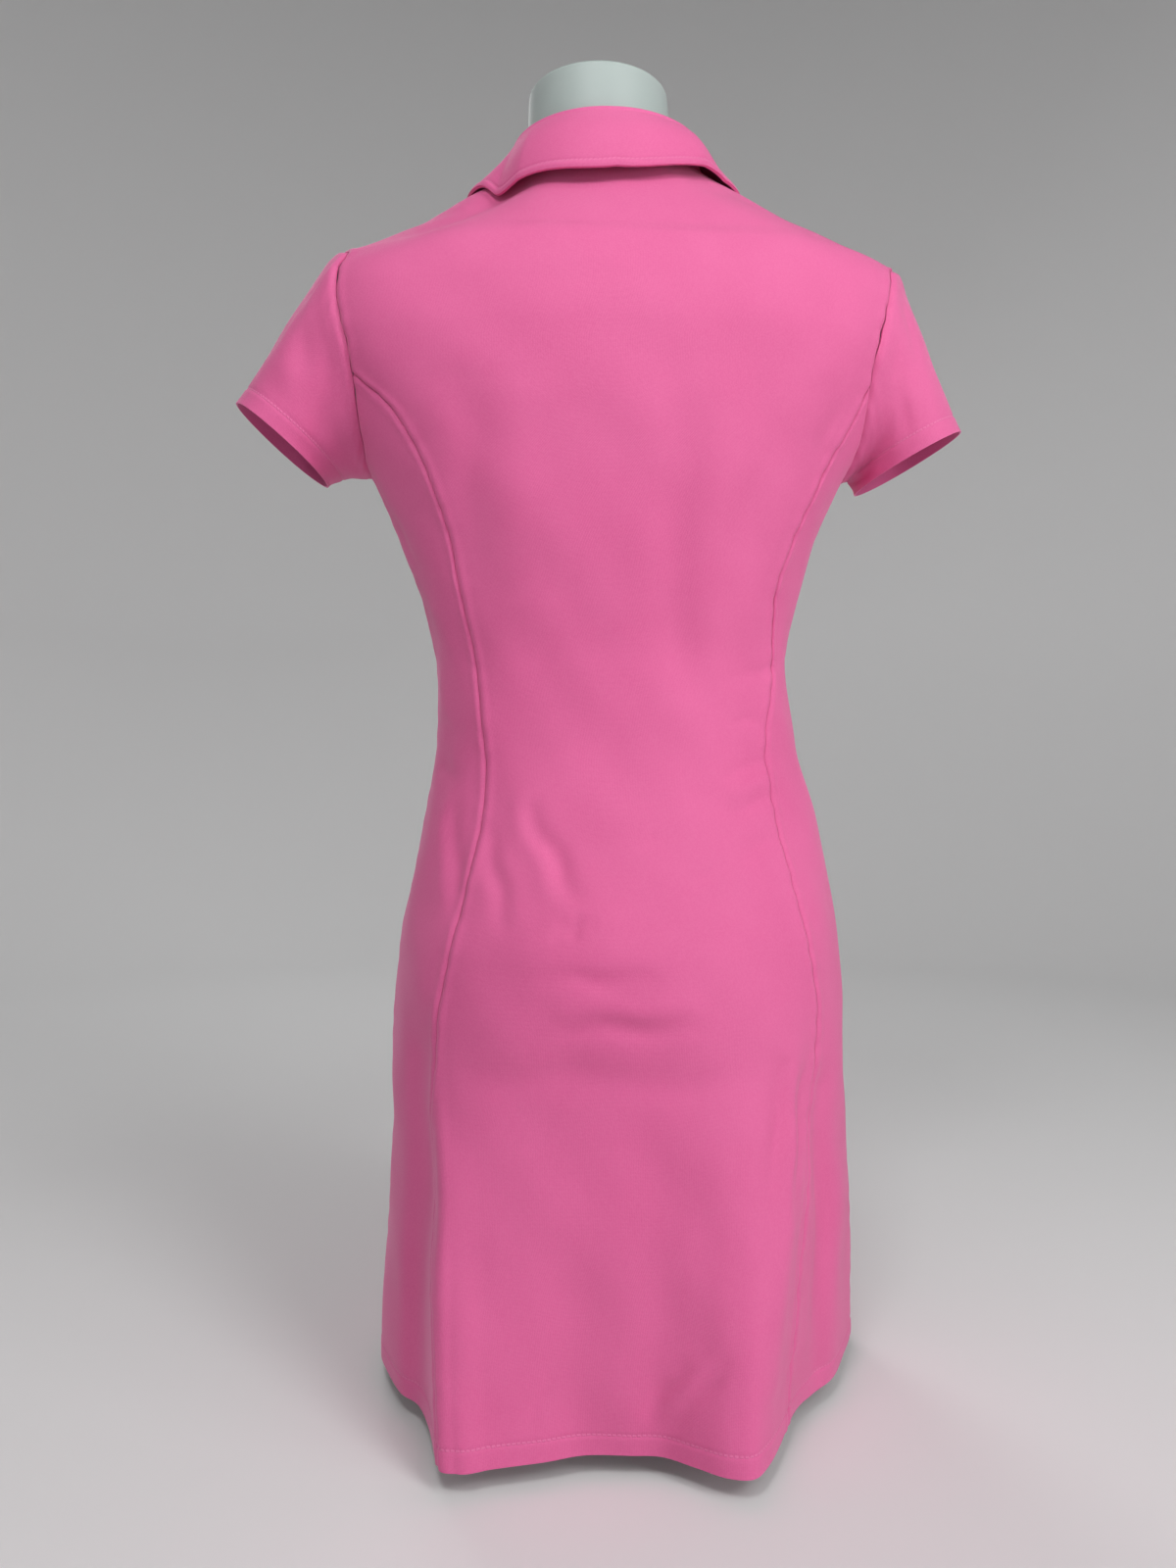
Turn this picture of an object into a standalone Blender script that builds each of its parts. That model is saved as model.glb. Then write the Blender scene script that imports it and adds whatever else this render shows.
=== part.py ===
"""Polo dress on a limbless dress form with a short stand.

Metres, +Z up. The dress faces -Y, its back faces +Y and the wearer's left is +X. The origin is the
middle of the stand's underside. Every panel of the dress is cut from one body surface, body_point(),
whose level sections come from the table BODY and, in the skirt, from the table HEM. Angles go round a
section in degrees: 0 the wearer's left side, 90 the back, 180 the right side, 270 the front.
"""

import math

import bpy
import numpy as np

# ---------------------------------------------------------------- driving dimensions
CLOTH = 0.0014  # wall of the knitted cloth
COLLAR_CLOTH = 0.0022  # the collar is two layers
SEAM_GAP = 0.0003  # between the edges of two panels
SLEEVE_GAP = 0.0006  # from an armhole to its sleeve
SKIN_SHARE = 1.5  # how far a sleeve follows the panels as it leaves them
HEM_HEIGHT = 0.014  # hem above the surface that the stand is on
FOLD_TOP = 0.300  # the skirt starts to swing out to its hem here
UNDERARM = 0.628
PRINCESS_TURN = 105.0  # where the back's seams start on the armhole
SHOULDER_TIP = {"left": 0.7770, "right": 0.7730}  # height of the top of each armhole
NECK_TOP = 0.896  # the form's neck is cut off level
NECK_EDGE = 0.003
FORM_BOTTOM = 0.195
PLACKET_WIDTH = 0.030
PLACKET_END = 0.640  # height of its lower edge
PLACKET_X = 0.010
POLE_RADIUS = 0.011
BASE_RADIUS = 0.098
BASE_HEIGHT = 0.010
BUTTON_RADIUS = 0.0055
BUTTON_HEIGHT = 0.0024

BODY_COLUMNS = ("height", "half_width", "back", "front", "centre_x", "square_back", "square_front", "ease")
BODY = (
    # height, half width, depth behind and before, centre, squareness behind and before, form's inset
    (0.0000, 0.1690, 0.1450, 0.1360, 0.0000, 2.20, 2.20, 0.0300),
    (0.0600, 0.1635, 0.1400, 0.1310, -0.0010, 2.20, 2.20, 0.0300),
    (0.1200, 0.1590, 0.1330, 0.1240, -0.0020, 2.20, 2.20, 0.0200),
    (0.1800, 0.1555, 0.1260, 0.1160, -0.0010, 2.20, 2.20, 0.0100),
    (0.2200, 0.1560, 0.1240, 0.1110, 0.0010, 2.20, 2.20, 0.0040),
    (0.2600, 0.1558, 0.1270, 0.1070, 0.0010, 2.15, 2.20, 0.0032),
    (0.3000, 0.1530, 0.1240, 0.1030, 0.0010, 2.15, 2.15, 0.0032),
    (0.3400, 0.1475, 0.1100, 0.0980, 0.0000, 2.15, 2.10, 0.0030),
    (0.3850, 0.1376, 0.0940, 0.0910, 0.0000, 2.15, 2.10, 0.0050),
    (0.4400, 0.1256, 0.0820, 0.0850, 0.0025, 2.20, 2.10, 0.0060),
    (0.4900, 0.1225, 0.0810, 0.0870, 0.0060, 2.25, 2.15, 0.0050),
    (0.5300, 0.1290, 0.0870, 0.0980, 0.0075, 2.30, 2.25, 0.0030),
    (0.5760, 0.1430, 0.0960, 0.1100, 0.0090, 2.35, 2.35, 0.0032),
    (0.6200, 0.1620, 0.1030, 0.1160, 0.0090, 2.40, 2.40, 0.0044),
    (0.6600, 0.1830, 0.1080, 0.1150, 0.0090, 2.40, 2.40, 0.0050),
    (0.7000, 0.2010, 0.1090, 0.1090, 0.0090, 2.40, 2.40, 0.0050),
    (0.7300, 0.2100, 0.1050, 0.1010, 0.0090, 2.35, 2.35, 0.0060),
    (0.7500, 0.2134, 0.1000, 0.0930, 0.0090, 2.30, 2.30, 0.0100),
    (0.7650, 0.2081, 0.0945, 0.0860, 0.0090, 2.30, 2.30, 0.0140),
    (0.7760, 0.1890, 0.0900, 0.0800, 0.0090, 2.30, 2.30, 0.0130),
    (0.7840, 0.1739, 0.0860, 0.0750, 0.0090, 2.30, 2.30, 0.0105),
    (0.7922, 0.1572, 0.0815, 0.0700, 0.0090, 2.25, 2.25, 0.0080),
    (0.8004, 0.1371, 0.0765, 0.0660, 0.0090, 2.20, 2.20, 0.0066),
    (0.8085, 0.1217, 0.0715, 0.0625, 0.0095, 2.15, 2.15, 0.0066),
    (0.8166, 0.1067, 0.0665, 0.0595, 0.0100, 2.10, 2.10, 0.0066),
    (0.8260, 0.0859, 0.0610, 0.0565, 0.0105, 2.05, 2.05, 0.0060),
    (0.8360, 0.0690, 0.0560, 0.0540, 0.0115, 2.00, 2.00, 0.0062),
    (0.8460, 0.0600, 0.0535, 0.0525, 0.0125, 2.00, 2.00, 0.0040),
    (0.8580, 0.0540, 0.0515, 0.0515, 0.0140, 2.00, 2.00, 0.0010),
    (0.8720, 0.0500, 0.0500, 0.0500, 0.0155, 2.00, 2.00, 0.0000),
    (0.9000, 0.0485, 0.0485, 0.0485, 0.0160, 2.00, 2.00, 0.0000),
)

HEM_COLUMNS = ("angle", "x", "y")
HEM = (
    # plan of the hem: a deep fold hangs at each back seam, softer ones go round the front
    (0.0, 0.1670, -0.0100),
    (12.0, 0.1640, 0.0180),
    (22.0, 0.1500, 0.0560),
    (31.0, 0.1340, 0.0780),
    (35.5, 0.1265, 0.1050),
    (39.5, 0.1190, 0.1430),
    (44.0, 0.1080, 0.1500),
    (52.0, 0.0880, 0.1465),
    (62.0, 0.0600, 0.1415),
    (73.0, 0.0350, 0.1360),
    (83.0, 0.0080, 0.1390),
    (93.0, -0.0130, 0.1405),
    (102.0, -0.0310, 0.1520),
    (110.0, -0.0490, 0.1640),
    (116.0, -0.0625, 0.1655),
    (122.0, -0.0735, 0.1530),
    (128.0, -0.0840, 0.1330),
    (133.5, -0.0935, 0.1120),
    (140.0, -0.1050, 0.0920),
    (148.0, -0.1210, 0.0740),
    (157.0, -0.1370, 0.0550),
    (168.0, -0.1530, 0.0230),
    (180.0, -0.1690, -0.0140),
    (194.0, -0.1650, -0.0480),
    (208.0, -0.1440, -0.0780),
    (224.0, -0.1180, -0.1060),
    (238.0, -0.0920, -0.1340),
    (249.0, -0.0640, -0.1430),
    (260.0, -0.0300, -0.1330),
    (270.0, 0.0020, -0.1290),
    (281.0, 0.0340, -0.1360),
    (293.0, 0.0680, -0.1450),
    (305.0, 0.0960, -0.1310),
    (319.0, 0.1220, -0.1010),
    (334.0, 0.1490, -0.0760),
    (348.0, 0.1650, -0.0440),
)

SWELL_COLUMNS = ("angle", "height", "angle_spread", "height_spread", "reach")
SWELLS = (
    # what the level sections leave out: the bust, the two sides of the seat and the fall of the shoulders
    (296.0, 0.632, 19.0, 0.044, 0.0130),
    (244.0, 0.632, 19.0, 0.044, 0.0130),
    (66.0, 0.292, 24.0, 0.050, 0.0040),
    (114.0, 0.292, 24.0, 0.050, 0.0040),
    (38.0, 0.790, 26.0, 0.030, -0.0337),
    (142.0, 0.790, 26.0, 0.030, -0.0115),
)

PRINCESS_COLUMNS = ("height", "left", "right")
PRINCESS = (
    # angles of the back's two long seams
    (0.000, 39.5, 133.5),
    (0.050, 39.3, 133.0),
    (0.100, 38.5, 133.5),
    (0.150, 36.8, 135.8),
    (0.195, 36.8, 138.0),
    (0.230, 38.5, 139.8),
    (0.262, 40.0, 139.5),
    (0.300, 43.0, 137.0),
    (0.340, 44.8, 134.8),
    (0.385, 46.3, 134.0),
    (0.424, 45.6, 135.2),
    (0.450, 44.0, 138.5),
    (0.472, 43.0, 143.0),
    (0.490, 42.0, 145.2),
    (0.520, 41.2, 143.0),
    (0.545, 41.6, 141.2),
    (0.570, 43.0, 143.0),
    (0.610, 43.2, 145.2),
    (0.632, 42.0, 146.5),
    (0.652, 40.0, 147.5),
)

ARMHOLE_COLUMNS = ("turn", "y", "height")
ARMHOLE = (
    # seen from the side, from the shoulder's tip down the back and up the front; height as a share
    (0.0, 0.0000, 1.000),
    (30.0, 0.0400, 0.930),
    (60.0, 0.0600, 0.735),
    (90.0, 0.0650, 0.485),
    (105.0, 0.0600, 0.345),
    (125.0, 0.0480, 0.185),
    (150.0, 0.0260, 0.050),
    (180.0, 0.0000, 0.000),
    (210.0, -0.0320, 0.045),
    (235.0, -0.0600, 0.175),
    (265.0, -0.0760, 0.400),
    (295.0, -0.0720, 0.650),
    (330.0, -0.0420, 0.910),
    (360.0, 0.0000, 1.000),
)

SLEEVE_COLUMNS = ("cuff_x", "cuff_y", "cuff_z", "slope", "across", "deep", "reach_top", "reach_under")
SLEEVES = {
    # middle of the cuff, degrees the sleeve points down, the cuff's two half widths, its spring
    "left": (0.2364, -0.0020, 0.6479, 50.0, 0.0391, 0.0520, 0.0300, 0.0065),
    "right": (-0.2072, -0.0020, 0.6421, 61.5, 0.0393, 0.0540, 0.0160, 0.0235),
}

COLLAR_COLUMNS = ("turn", "neck", "fold", "fold_reach", "edge_turn", "edge", "lift")
COLLAR = (
    # turn from centre back; plan distances from the neck's middle of the neck seam, the fold and the
    # outer edge; height of the fold; turn at which the edge lies, and its lift off the shoulders
    (0.0, 0.0610, 0.8550, 0.0620, 0.0, 0.0745, 0.0080),
    (30.0, 0.0625, 0.8550, 0.0635, 30.0, 0.0775, 0.0075),
    (60.0, 0.0670, 0.8530, 0.0660, 61.0, 0.0835, 0.0062),
    (90.0, 0.0725, 0.8470, 0.0645, 91.0, 0.0970, 0.0062),
    (115.0, 0.0735, 0.8430, 0.0690, 114.0, 0.1025, 0.0048),
    (140.0, 0.0745, 0.8330, 0.0735, 131.0, 0.1020, 0.0048),
    (160.0, 0.0765, 0.8110, 0.0765, 143.0, 0.1040, 0.0048),
    (171.0, 0.0780, 0.7990, 0.0790, 153.0, 0.1080, 0.0048),
)
COLLAR_END = 173.0
COLLAR_CENTRE = (0.0100, 0.0000)
NECK_GAP = 0.0006  # between the neck seam's edge and the collar's stand
FOLD_RADIUS = 0.0028

BUTTON_HEIGHTS = (0.760, 0.712, 0.664)

MATERIALS = {
    # base colour, roughness
    "pink_knit": ((0.80, 0.19, 0.40), 0.75),
    "form_cover": ((0.52, 0.60, 0.57), 0.60),
    "stand_metal": ((0.62, 0.64, 0.64), 0.40),
    "button": ((0.82, 0.24, 0.44), 0.35),
}


# ---------------------------------------------------------------- curves
def smooth(x, xs, ys):
    """The smooth curve through the points xs, ys that never overshoots them."""
    xs = np.asarray(xs, float)
    ys = np.asarray(ys, float)
    step = np.diff(xs)
    rise = np.diff(ys) / step
    slope = np.zeros(len(xs))
    slope[0], slope[-1] = rise[0], rise[-1]
    for i in range(1, len(step)):
        if rise[i - 1] * rise[i] > 0:
            left = 2 * step[i] + step[i - 1]
            right = step[i] + 2 * step[i - 1]
            slope[i] = (left + right) / (left / rise[i - 1] + right / rise[i])
    return hermite(x, xs, ys, slope)


def hermite(x, xs, ys, slope):
    """The cubic curve through the points xs, ys with these slopes."""
    x = np.clip(np.asarray(x, float), xs[0], xs[-1])
    i = np.clip(np.searchsorted(xs, x, side="right") - 1, 0, len(xs) - 2)
    step = xs[i + 1] - xs[i]
    s = (x - xs[i]) / step
    start = ys[i] * (1 + 2 * s) * (1 - s) ** 2 + step * s * (1 - s) ** 2 * slope[i]
    end = ys[i + 1] * s**2 * (3 - 2 * s) - step * s**2 * (1 - s) * slope[i + 1]
    return start + end


def round_curve(angle, column):
    """One column of HEM at any angle: a curve that closes on itself."""
    xs = np.array([row[0] for row in HEM])
    ys = np.array([row[column] for row in HEM])
    xs = np.concatenate([xs[-2:] - 360, xs, xs[:2] + 360])
    ys = np.concatenate([ys[-2:], ys, ys[:2]])
    slope = np.gradient(ys, xs)
    return hermite(np.mod(angle, 360.0), xs, ys, slope)


def column(table, columns, name, at):
    """One column of a table at any value of its first column."""
    k = columns.index(name)
    return smooth(at, [row[0] for row in table], [row[k] for row in table])


def body(name, height):
    return column(BODY, BODY_COLUMNS, name, height)


# ---------------------------------------------------------------- the body surface
def apart(a, b):
    """Signed angle from b to a, within half a turn."""
    return (a - b + 180.0) % 360.0 - 180.0


def section_point(angle, height, inside):
    """Points of the body's level sections, moved in by some distance."""
    tau = np.radians(angle)
    is_back = np.sin(tau) >= 0
    wide = body("half_width", height) - inside
    deep = np.where(is_back, body("back", height), body("front", height)) - inside
    square = np.where(is_back, body("square_back", height), body("square_front", height))
    bearing = np.arctan2(deep * np.sin(tau), wide * np.cos(tau))
    across = np.abs(np.cos(bearing)) / wide
    along = np.abs(np.sin(bearing)) / deep
    radius = (across**square + along**square) ** (-1 / square)
    for middle, level, spread, tall, reach in SWELLS:
        near = np.exp(-((apart(angle, middle) / spread) ** 2) - ((height - level) / tall) ** 2)
        radius = radius + reach * near
    x = body("centre_x", height) + radius * np.cos(bearing)
    return np.stack([x, radius * np.sin(bearing), height], axis=-1)


def body_point(angle, height):
    """Points of the outside of the dress, its skirt swung out to the plan of the hem."""
    angle, height = np.broadcast_arrays(np.asarray(angle, float), np.asarray(height, float))
    point = section_point(angle, height, 0.0)
    swing = np.clip((FOLD_TOP - height) / (FOLD_TOP - HEM_HEIGHT), 0, 1) ** 1.3
    hem = np.stack([round_curve(angle, 1), round_curve(angle, 2), height], axis=-1)
    return point * (1 - swing[..., None]) + hem * swing[..., None]


def body_normal(angle, height):
    """Outward normals of the body surface."""
    turn, rise = 0.3, 0.0005
    around = body_point(angle + turn, height) - body_point(angle - turn, height)
    up = body_point(angle, height + rise) - body_point(angle, height - rise)
    normal = np.cross(around, up)
    return normal / np.linalg.norm(normal, axis=-1, keepdims=True)


def angle_where(value, axis, height, low, high):
    """The angle between low and high at which the body surface has this x or y at a height."""
    angles = np.linspace(low, high, 721)
    places = body_point(angles, height)[:, axis]
    if places[0] > places[-1]:
        angles, places = angles[::-1], places[::-1]
    return float(np.interp(value, places, angles))


# ---------------------------------------------------------------- seams, as rows of (angle, height)
def mirror(seam, side):
    """A seam of the left side as it lies on this side."""
    seam = np.array(seam, float)
    if side == "right":
        seam[:, 0] = 180.0 - seam[:, 0]
    return seam


def armhole(side, turns):
    """Points of an armhole from the shoulder's tip (turn 0) over the back and up the front (360)."""
    rows = []
    for turn in turns:
        share = float(column(ARMHOLE, ARMHOLE_COLUMNS, "height", turn))
        height = UNDERARM + share * (SHOULDER_TIP[side] - UNDERARM)
        y = float(column(ARMHOLE, ARMHOLE_COLUMNS, "y", turn))
        rows.append((angle_where(y, 1, height, -89.0, 89.0), height))
    return mirror(rows, side)


def princess_seam(side, count):
    """A back seam from the hem to the armhole."""
    top = armhole(side, [PRINCESS_TURN])[0]
    last = PRINCESS[-1]
    heights = np.linspace(HEM_HEIGHT, top[1], count)
    rows = [row[0] for row in PRINCESS] + [top[1]]
    k = PRINCESS_COLUMNS.index(side)
    angles = [row[k] for row in PRINCESS] + [top[0]]
    assert last[0] < top[1]
    return np.stack([smooth(heights, rows, angles), heights], axis=-1)


def side_seam(side, count):
    """A side seam from the hem to the underarm."""
    return mirror([(0.0, h) for h in np.linspace(HEM_HEIGHT, UNDERARM, count)], side)


def spot(bearing, reach):
    """Angle and height at which the body surface lies this far, in plan, from the neck's middle."""
    angles = np.arange(0.0, 360.0, 2.0)

    def ring(height):
        x, y = body_point(angles, height)[:, :2].T - np.array(COLLAR_CENTRE)[:, None]
        return np.degrees(np.arctan2(y, x)), np.hypot(x, y)

    heights = np.linspace(0.73, 0.86, 66)
    reaches = np.array([np.interp(bearing, *ring(h), period=360.0) for h in heights])
    height = float(np.interp(-reach, -reaches, heights))
    bearings = ring(height)[0]
    return bearing + float(np.interp(bearing, bearings, apart(angles, bearings), period=360.0)), height


def neck_line(bearings):
    """Points of the neckline, to which the collar is sewn."""
    turns = np.abs(apart(bearings, 90.0))
    return np.array([spot(b, float(column(COLLAR, COLLAR_COLUMNS, "neck", t))) for b, t in zip(bearings, turns)])


def shoulder_seam(side, count):
    """A shoulder seam from the armhole to the neckline."""
    top = neck_line(np.array([0.0 if side == "left" else 180.0]))[0][1]
    return mirror([(0.0, h) for h in np.linspace(SHOULDER_TIP[side], top, count)], side)


# ---------------------------------------------------------------- cloth
def fill(left, right, bottom, top):
    """A grid of (angle, height) between four edges, each a row of points (a Coons patch)."""
    v = np.linspace(0, 1, len(left))[:, None, None]
    u = np.linspace(0, 1, len(bottom))[None, :, None]
    sides = (1 - u) * left[:, None] + u * right[:, None]
    ends = (1 - v) * bottom[None] + v * top[None]
    corners = (
        (1 - u) * (1 - v) * bottom[0] + u * (1 - v) * bottom[-1] + (1 - u) * v * top[0] + u * v * top[-1]
    )
    return sides + ends - corners


def plumb_line(top, edge):
    """A straight column of a panel, from neckline to hem, its rows level with those of an edge."""
    x = body_point(*top)[0]
    low, high = (20.0, 160.0) if top[0] < 180.0 else (225.0, 315.0)
    share = (edge[:, 1] - edge[0, 1]) / (edge[-1, 1] - edge[0, 1])
    heights = HEM_HEIGHT + share * (top[1] - HEM_HEIGHT)
    return np.array([(angle_where(x, 0, h, low, high), h) for h in heights[:-1]] + [tuple(top)])


def side_by_side(left, right, top, columns):
    """A grid between two edges that is filled in parts, with a plumb line at each of some columns."""
    top[0], top[-1] = left[-1], right[-1]
    stops = [0, *columns, len(top) - 1]
    lines = [left, *[plumb_line(top[k], left) for k in columns], right]
    parts = []
    for k in range(len(stops) - 1):
        bottom = np.linspace(lines[k][0], lines[k + 1][0], stops[k + 1] - stops[k] + 1)
        part = fill(lines[k], lines[k + 1], bottom, top[stops[k]:stops[k + 1] + 1])
        parts.append(part if k == 0 else part[:, 1:])
    return np.concatenate(parts, axis=1)


def inward(edge, next_row):
    """Unit steps from an edge of a grid toward the row next to it, at right angles to the edge."""
    along = np.gradient(edge, axis=0)
    along /= np.linalg.norm(along, axis=-1, keepdims=True)
    step = next_row - edge
    step -= (step * along).sum(-1, keepdims=True) * along
    return step / np.linalg.norm(step, axis=-1, keepdims=True)


def trim(points, edges, gap):
    """Steps that take the named edges of a grid back from their seams by half a gap."""
    shift = np.zeros_like(points)
    half = gap / 2
    if "left" in edges:
        shift[:, 0] += half * inward(points[:, 0], points[:, 1])
    if "right" in edges:
        shift[:, -1] += half * inward(points[:, -1], points[:, -2])
    if "bottom" in edges:
        shift[0] += half * inward(points[0], points[1])
    if "top" in edges:
        shift[-1] += half * inward(points[-1], points[-2])
    return shift


def cloth_object(name, outer, inner, material, keep=None, closed=False):
    """One solid between two grids of points; keep says which cells there are."""
    rows, cols = outer.shape[:2]
    across = cols if closed else cols - 1
    keep = np.ones((rows - 1, across), bool) if keep is None else keep
    index = {}
    points = []

    def corner(layer, r, c):
        key = (layer, r, c % cols)
        if key not in index:
            index[key] = len(points)
            points.append((outer, inner)[layer][r, c % cols])
        return index[key]

    faces = []
    for r in range(rows - 1):
        for c in range(across):
            if not keep[r, c]:
                continue
            around = [(r, c), (r, c + 1), (r + 1, c + 1), (r + 1, c)]
            beside = [(r - 1, c), (r, c + 1), (r + 1, c), (r, c - 1)]
            faces.append([corner(0, *p) for p in around])
            faces.append([corner(1, *p) for p in reversed(around)])
            for k, (br, bc) in enumerate(beside):
                if closed:
                    bc %= across
                if 0 <= br < rows - 1 and 0 <= bc < across and keep[br, bc]:
                    continue
                a, b = around[k], around[(k + 1) % 4]
                faces.append([corner(0, *b), corner(0, *a), corner(1, *a), corner(1, *b)])
    return add_object(name, points, faces, material)


def add_object(name, points, faces, material):
    mesh = bpy.data.meshes.new(name)
    mesh.from_pydata([tuple(map(float, p)) for p in points], [], faces)
    mesh.validate()
    mesh.materials.append(bpy.data.materials[material])
    obj = bpy.data.objects.new(name, mesh)
    bpy.context.scene.collection.objects.link(obj)
    turn_outward(mesh)
    return obj


def turn_outward(mesh):
    """Turn every face over if the mesh is inside out."""
    volume = 0.0
    for face in mesh.polygons:
        ring = [np.array(mesh.vertices[i].co) for i in face.vertices]
        for b, c in zip(ring[1:], ring[2:]):
            volume += float(np.dot(ring[0], np.cross(b, c)))
    if volume < 0:
        mesh.flip_normals()


def panel(name, grid, edges, keep=None, lift=0.0, wall=CLOTH, gap=SEAM_GAP):
    """A panel of the dress from its grid of (angle, height)."""
    angle, height = grid[..., 0], grid[..., 1]
    points = body_point(angle, height)
    normal = body_normal(angle, height)
    points = points + trim(points, edges, gap)
    outer = points + lift * normal
    return cloth_object(name, outer, outer - wall * normal, "pink_knit", keep)


# ---------------------------------------------------------------- the pieces
PLACKET_TURN = 180.0 - math.degrees(math.asin(PLACKET_WIDTH / 2 / COLLAR[-1][1]))  # its edge at the neck
SIDE_TURNS = np.linspace(90.0, PLACKET_TURN, 10)
FRONT_BEARINGS = np.concatenate([90.0 + SIDE_TURNS, [270.0], 450.0 - SIDE_TURNS[::-1]])
LOW_ROWS = 25  # rows from the hem to the armhole
BACK_TURNS = (105.0, 88.0, 71.0, 54.0, 40.0, 28.0, 18.0, 9.0, 0.0)  # up the back half of the armhole
UNDER_TURNS = (180.0, 166.0, 153.0, 141.0, 129.0, 117.0, 105.0)  # from underarm to back seam
FRONT_TURNS = (180.0, 194.0, 208.0, 222.0, 238.0, 256.0, 275.0, 294.0, 312.0, 326.0, 339.0, 350.0, 360.0)
SHOULDER_ROWS = 6


def make_back_center():
    edges = {}
    for side in ("left", "right"):
        seam = princess_seam(side, LOW_ROWS)
        arm = armhole(side, BACK_TURNS)
        top = shoulder_seam(side, SHOULDER_ROWS)
        edges[side] = np.concatenate([seam, arm[1:], top[1:]])
    grid = side_by_side(edges["left"], edges["right"], neck_line(np.linspace(0.0, 180.0, 19)), [9])
    panel("back_center", grid, ("left", "right"))


def make_back_side(side):
    front = side_seam(side, LOW_ROWS)
    back = princess_seam(side, LOW_ROWS)
    top = armhole(side, UNDER_TURNS)
    bottom = np.linspace(front[0], back[0], len(top))
    panel("back_side_" + side, fill(front, back, bottom, top), ("left", "right", "top"))


def front_grid():
    edges = {}
    for side in ("left", "right"):
        seam = side_seam(side, LOW_ROWS)
        arm = armhole(side, FRONT_TURNS)
        top = shoulder_seam(side, SHOULDER_ROWS)
        edges[side] = np.concatenate([seam, arm[1:], top[1:]])
    edges["left"][:, 0] += 360.0
    middle = len(FRONT_BEARINGS) // 2
    return side_by_side(edges["right"], edges["left"], neck_line(FRONT_BEARINGS), [middle - 1, middle + 1])


def make_front():
    """The front, with the slit that the placket fills."""
    grid = front_grid()
    rows, cols = grid.shape[:2]
    first, last = cols // 2 - 1, cols // 2 + 1
    low = int(np.argmin(np.abs(grid[:, first, 1] - PLACKET_END)))
    keep = np.ones((rows - 1, cols - 1), bool)
    keep[low:, first:last] = False
    panel("front", grid, ("left", "right"), keep)
    return grid, low, first, last


def make_sleeve(side):
    cuff_x, cuff_y, cuff_z, slope, across, deep, reach_top, reach_under = SLEEVES[side]
    turns = np.array(list(reversed(BACK_TURNS)) + list(reversed(UNDER_TURNS))[1:] + list(FRONT_TURNS)[1:-1])
    seam = armhole(side, turns)
    start = body_point(seam[:, 0], seam[:, 1])
    skin = body_normal(seam[:, 0], seam[:, 1])
    out = 1.0 if side == "left" else -1.0
    tilt = math.radians(slope)
    axis = np.array([out * math.cos(tilt), 0.0, -math.sin(tilt)])
    upper = np.array([out * math.sin(tilt), 0.0, math.cos(tilt)])
    turn = np.radians(turns)[:, None]
    cuff = np.array([cuff_x, cuff_y, cuff_z]) + across * np.cos(turn) * upper
    cuff = cuff + deep * np.sin(turn) * np.array([0.0, 1.0, 0.0])
    is_top = (1 + np.cos(turn)) / 2
    first_slope = np.radians(28.0 * is_top + 20.0 * (1 - is_top))
    leave = np.concatenate([out * np.cos(first_slope), 0 * turn, -np.sin(first_slope)], axis=1)
    onward = np.cross(np.roll(start, -1, axis=0) - np.roll(start, 1, axis=0), skin)
    onward *= np.sign(onward[:, :1]) * out / np.linalg.norm(onward, axis=-1, keepdims=True)
    leave = (leave + SKIN_SHARE * onward) / (1 + SKIN_SHARE)
    reach = reach_top * is_top + reach_under * (1 - is_top)
    ahead = start + reach * leave
    before = cuff - (0.035 * is_top + 0.006 * (1 - is_top)) * axis
    shares = np.linspace(0, 1, 9)[:, None, None]
    points = (
        (1 - shares) ** 3 * start
        + 3 * (1 - shares) ** 2 * shares * ahead
        + 3 * (1 - shares) * shares**2 * before
        + shares**3 * cuff
    )
    around = np.roll(points, -1, axis=1) - np.roll(points, 1, axis=1)
    along = np.gradient(points, axis=0)
    normal = np.cross(along, around) * out
    normal /= np.linalg.norm(normal, axis=-1, keepdims=True)
    normal[0] = normal[0] + skin
    normal[0] /= np.linalg.norm(normal[0], axis=-1, keepdims=True)
    step = points[1] - points[0]
    points[0] += step / np.linalg.norm(step, axis=-1, keepdims=True) * SLEEVE_GAP
    cloth_object("sleeve_" + side, points, points - CLOTH * normal, "pink_knit", closed=True)


def make_placket(grid, low, first, last):
    """The button band that fills the slit of the front, a little proud of it."""
    strip = grid[low:, first:last + 1]
    halves = [(strip[:, k:k + 1] + strip[:, k + 1:k + 2]) / 2 for k in range(strip.shape[1] - 1)]
    strip = np.concatenate([strip[:, :1], halves[0], strip[:, 1:2], halves[1], strip[:, 2:]], axis=1)
    edges = ("left", "right", "bottom")
    panel("placket", strip, edges, lift=0.0008, wall=CLOTH + 0.0008, gap=2 * SEAM_GAP)


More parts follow.
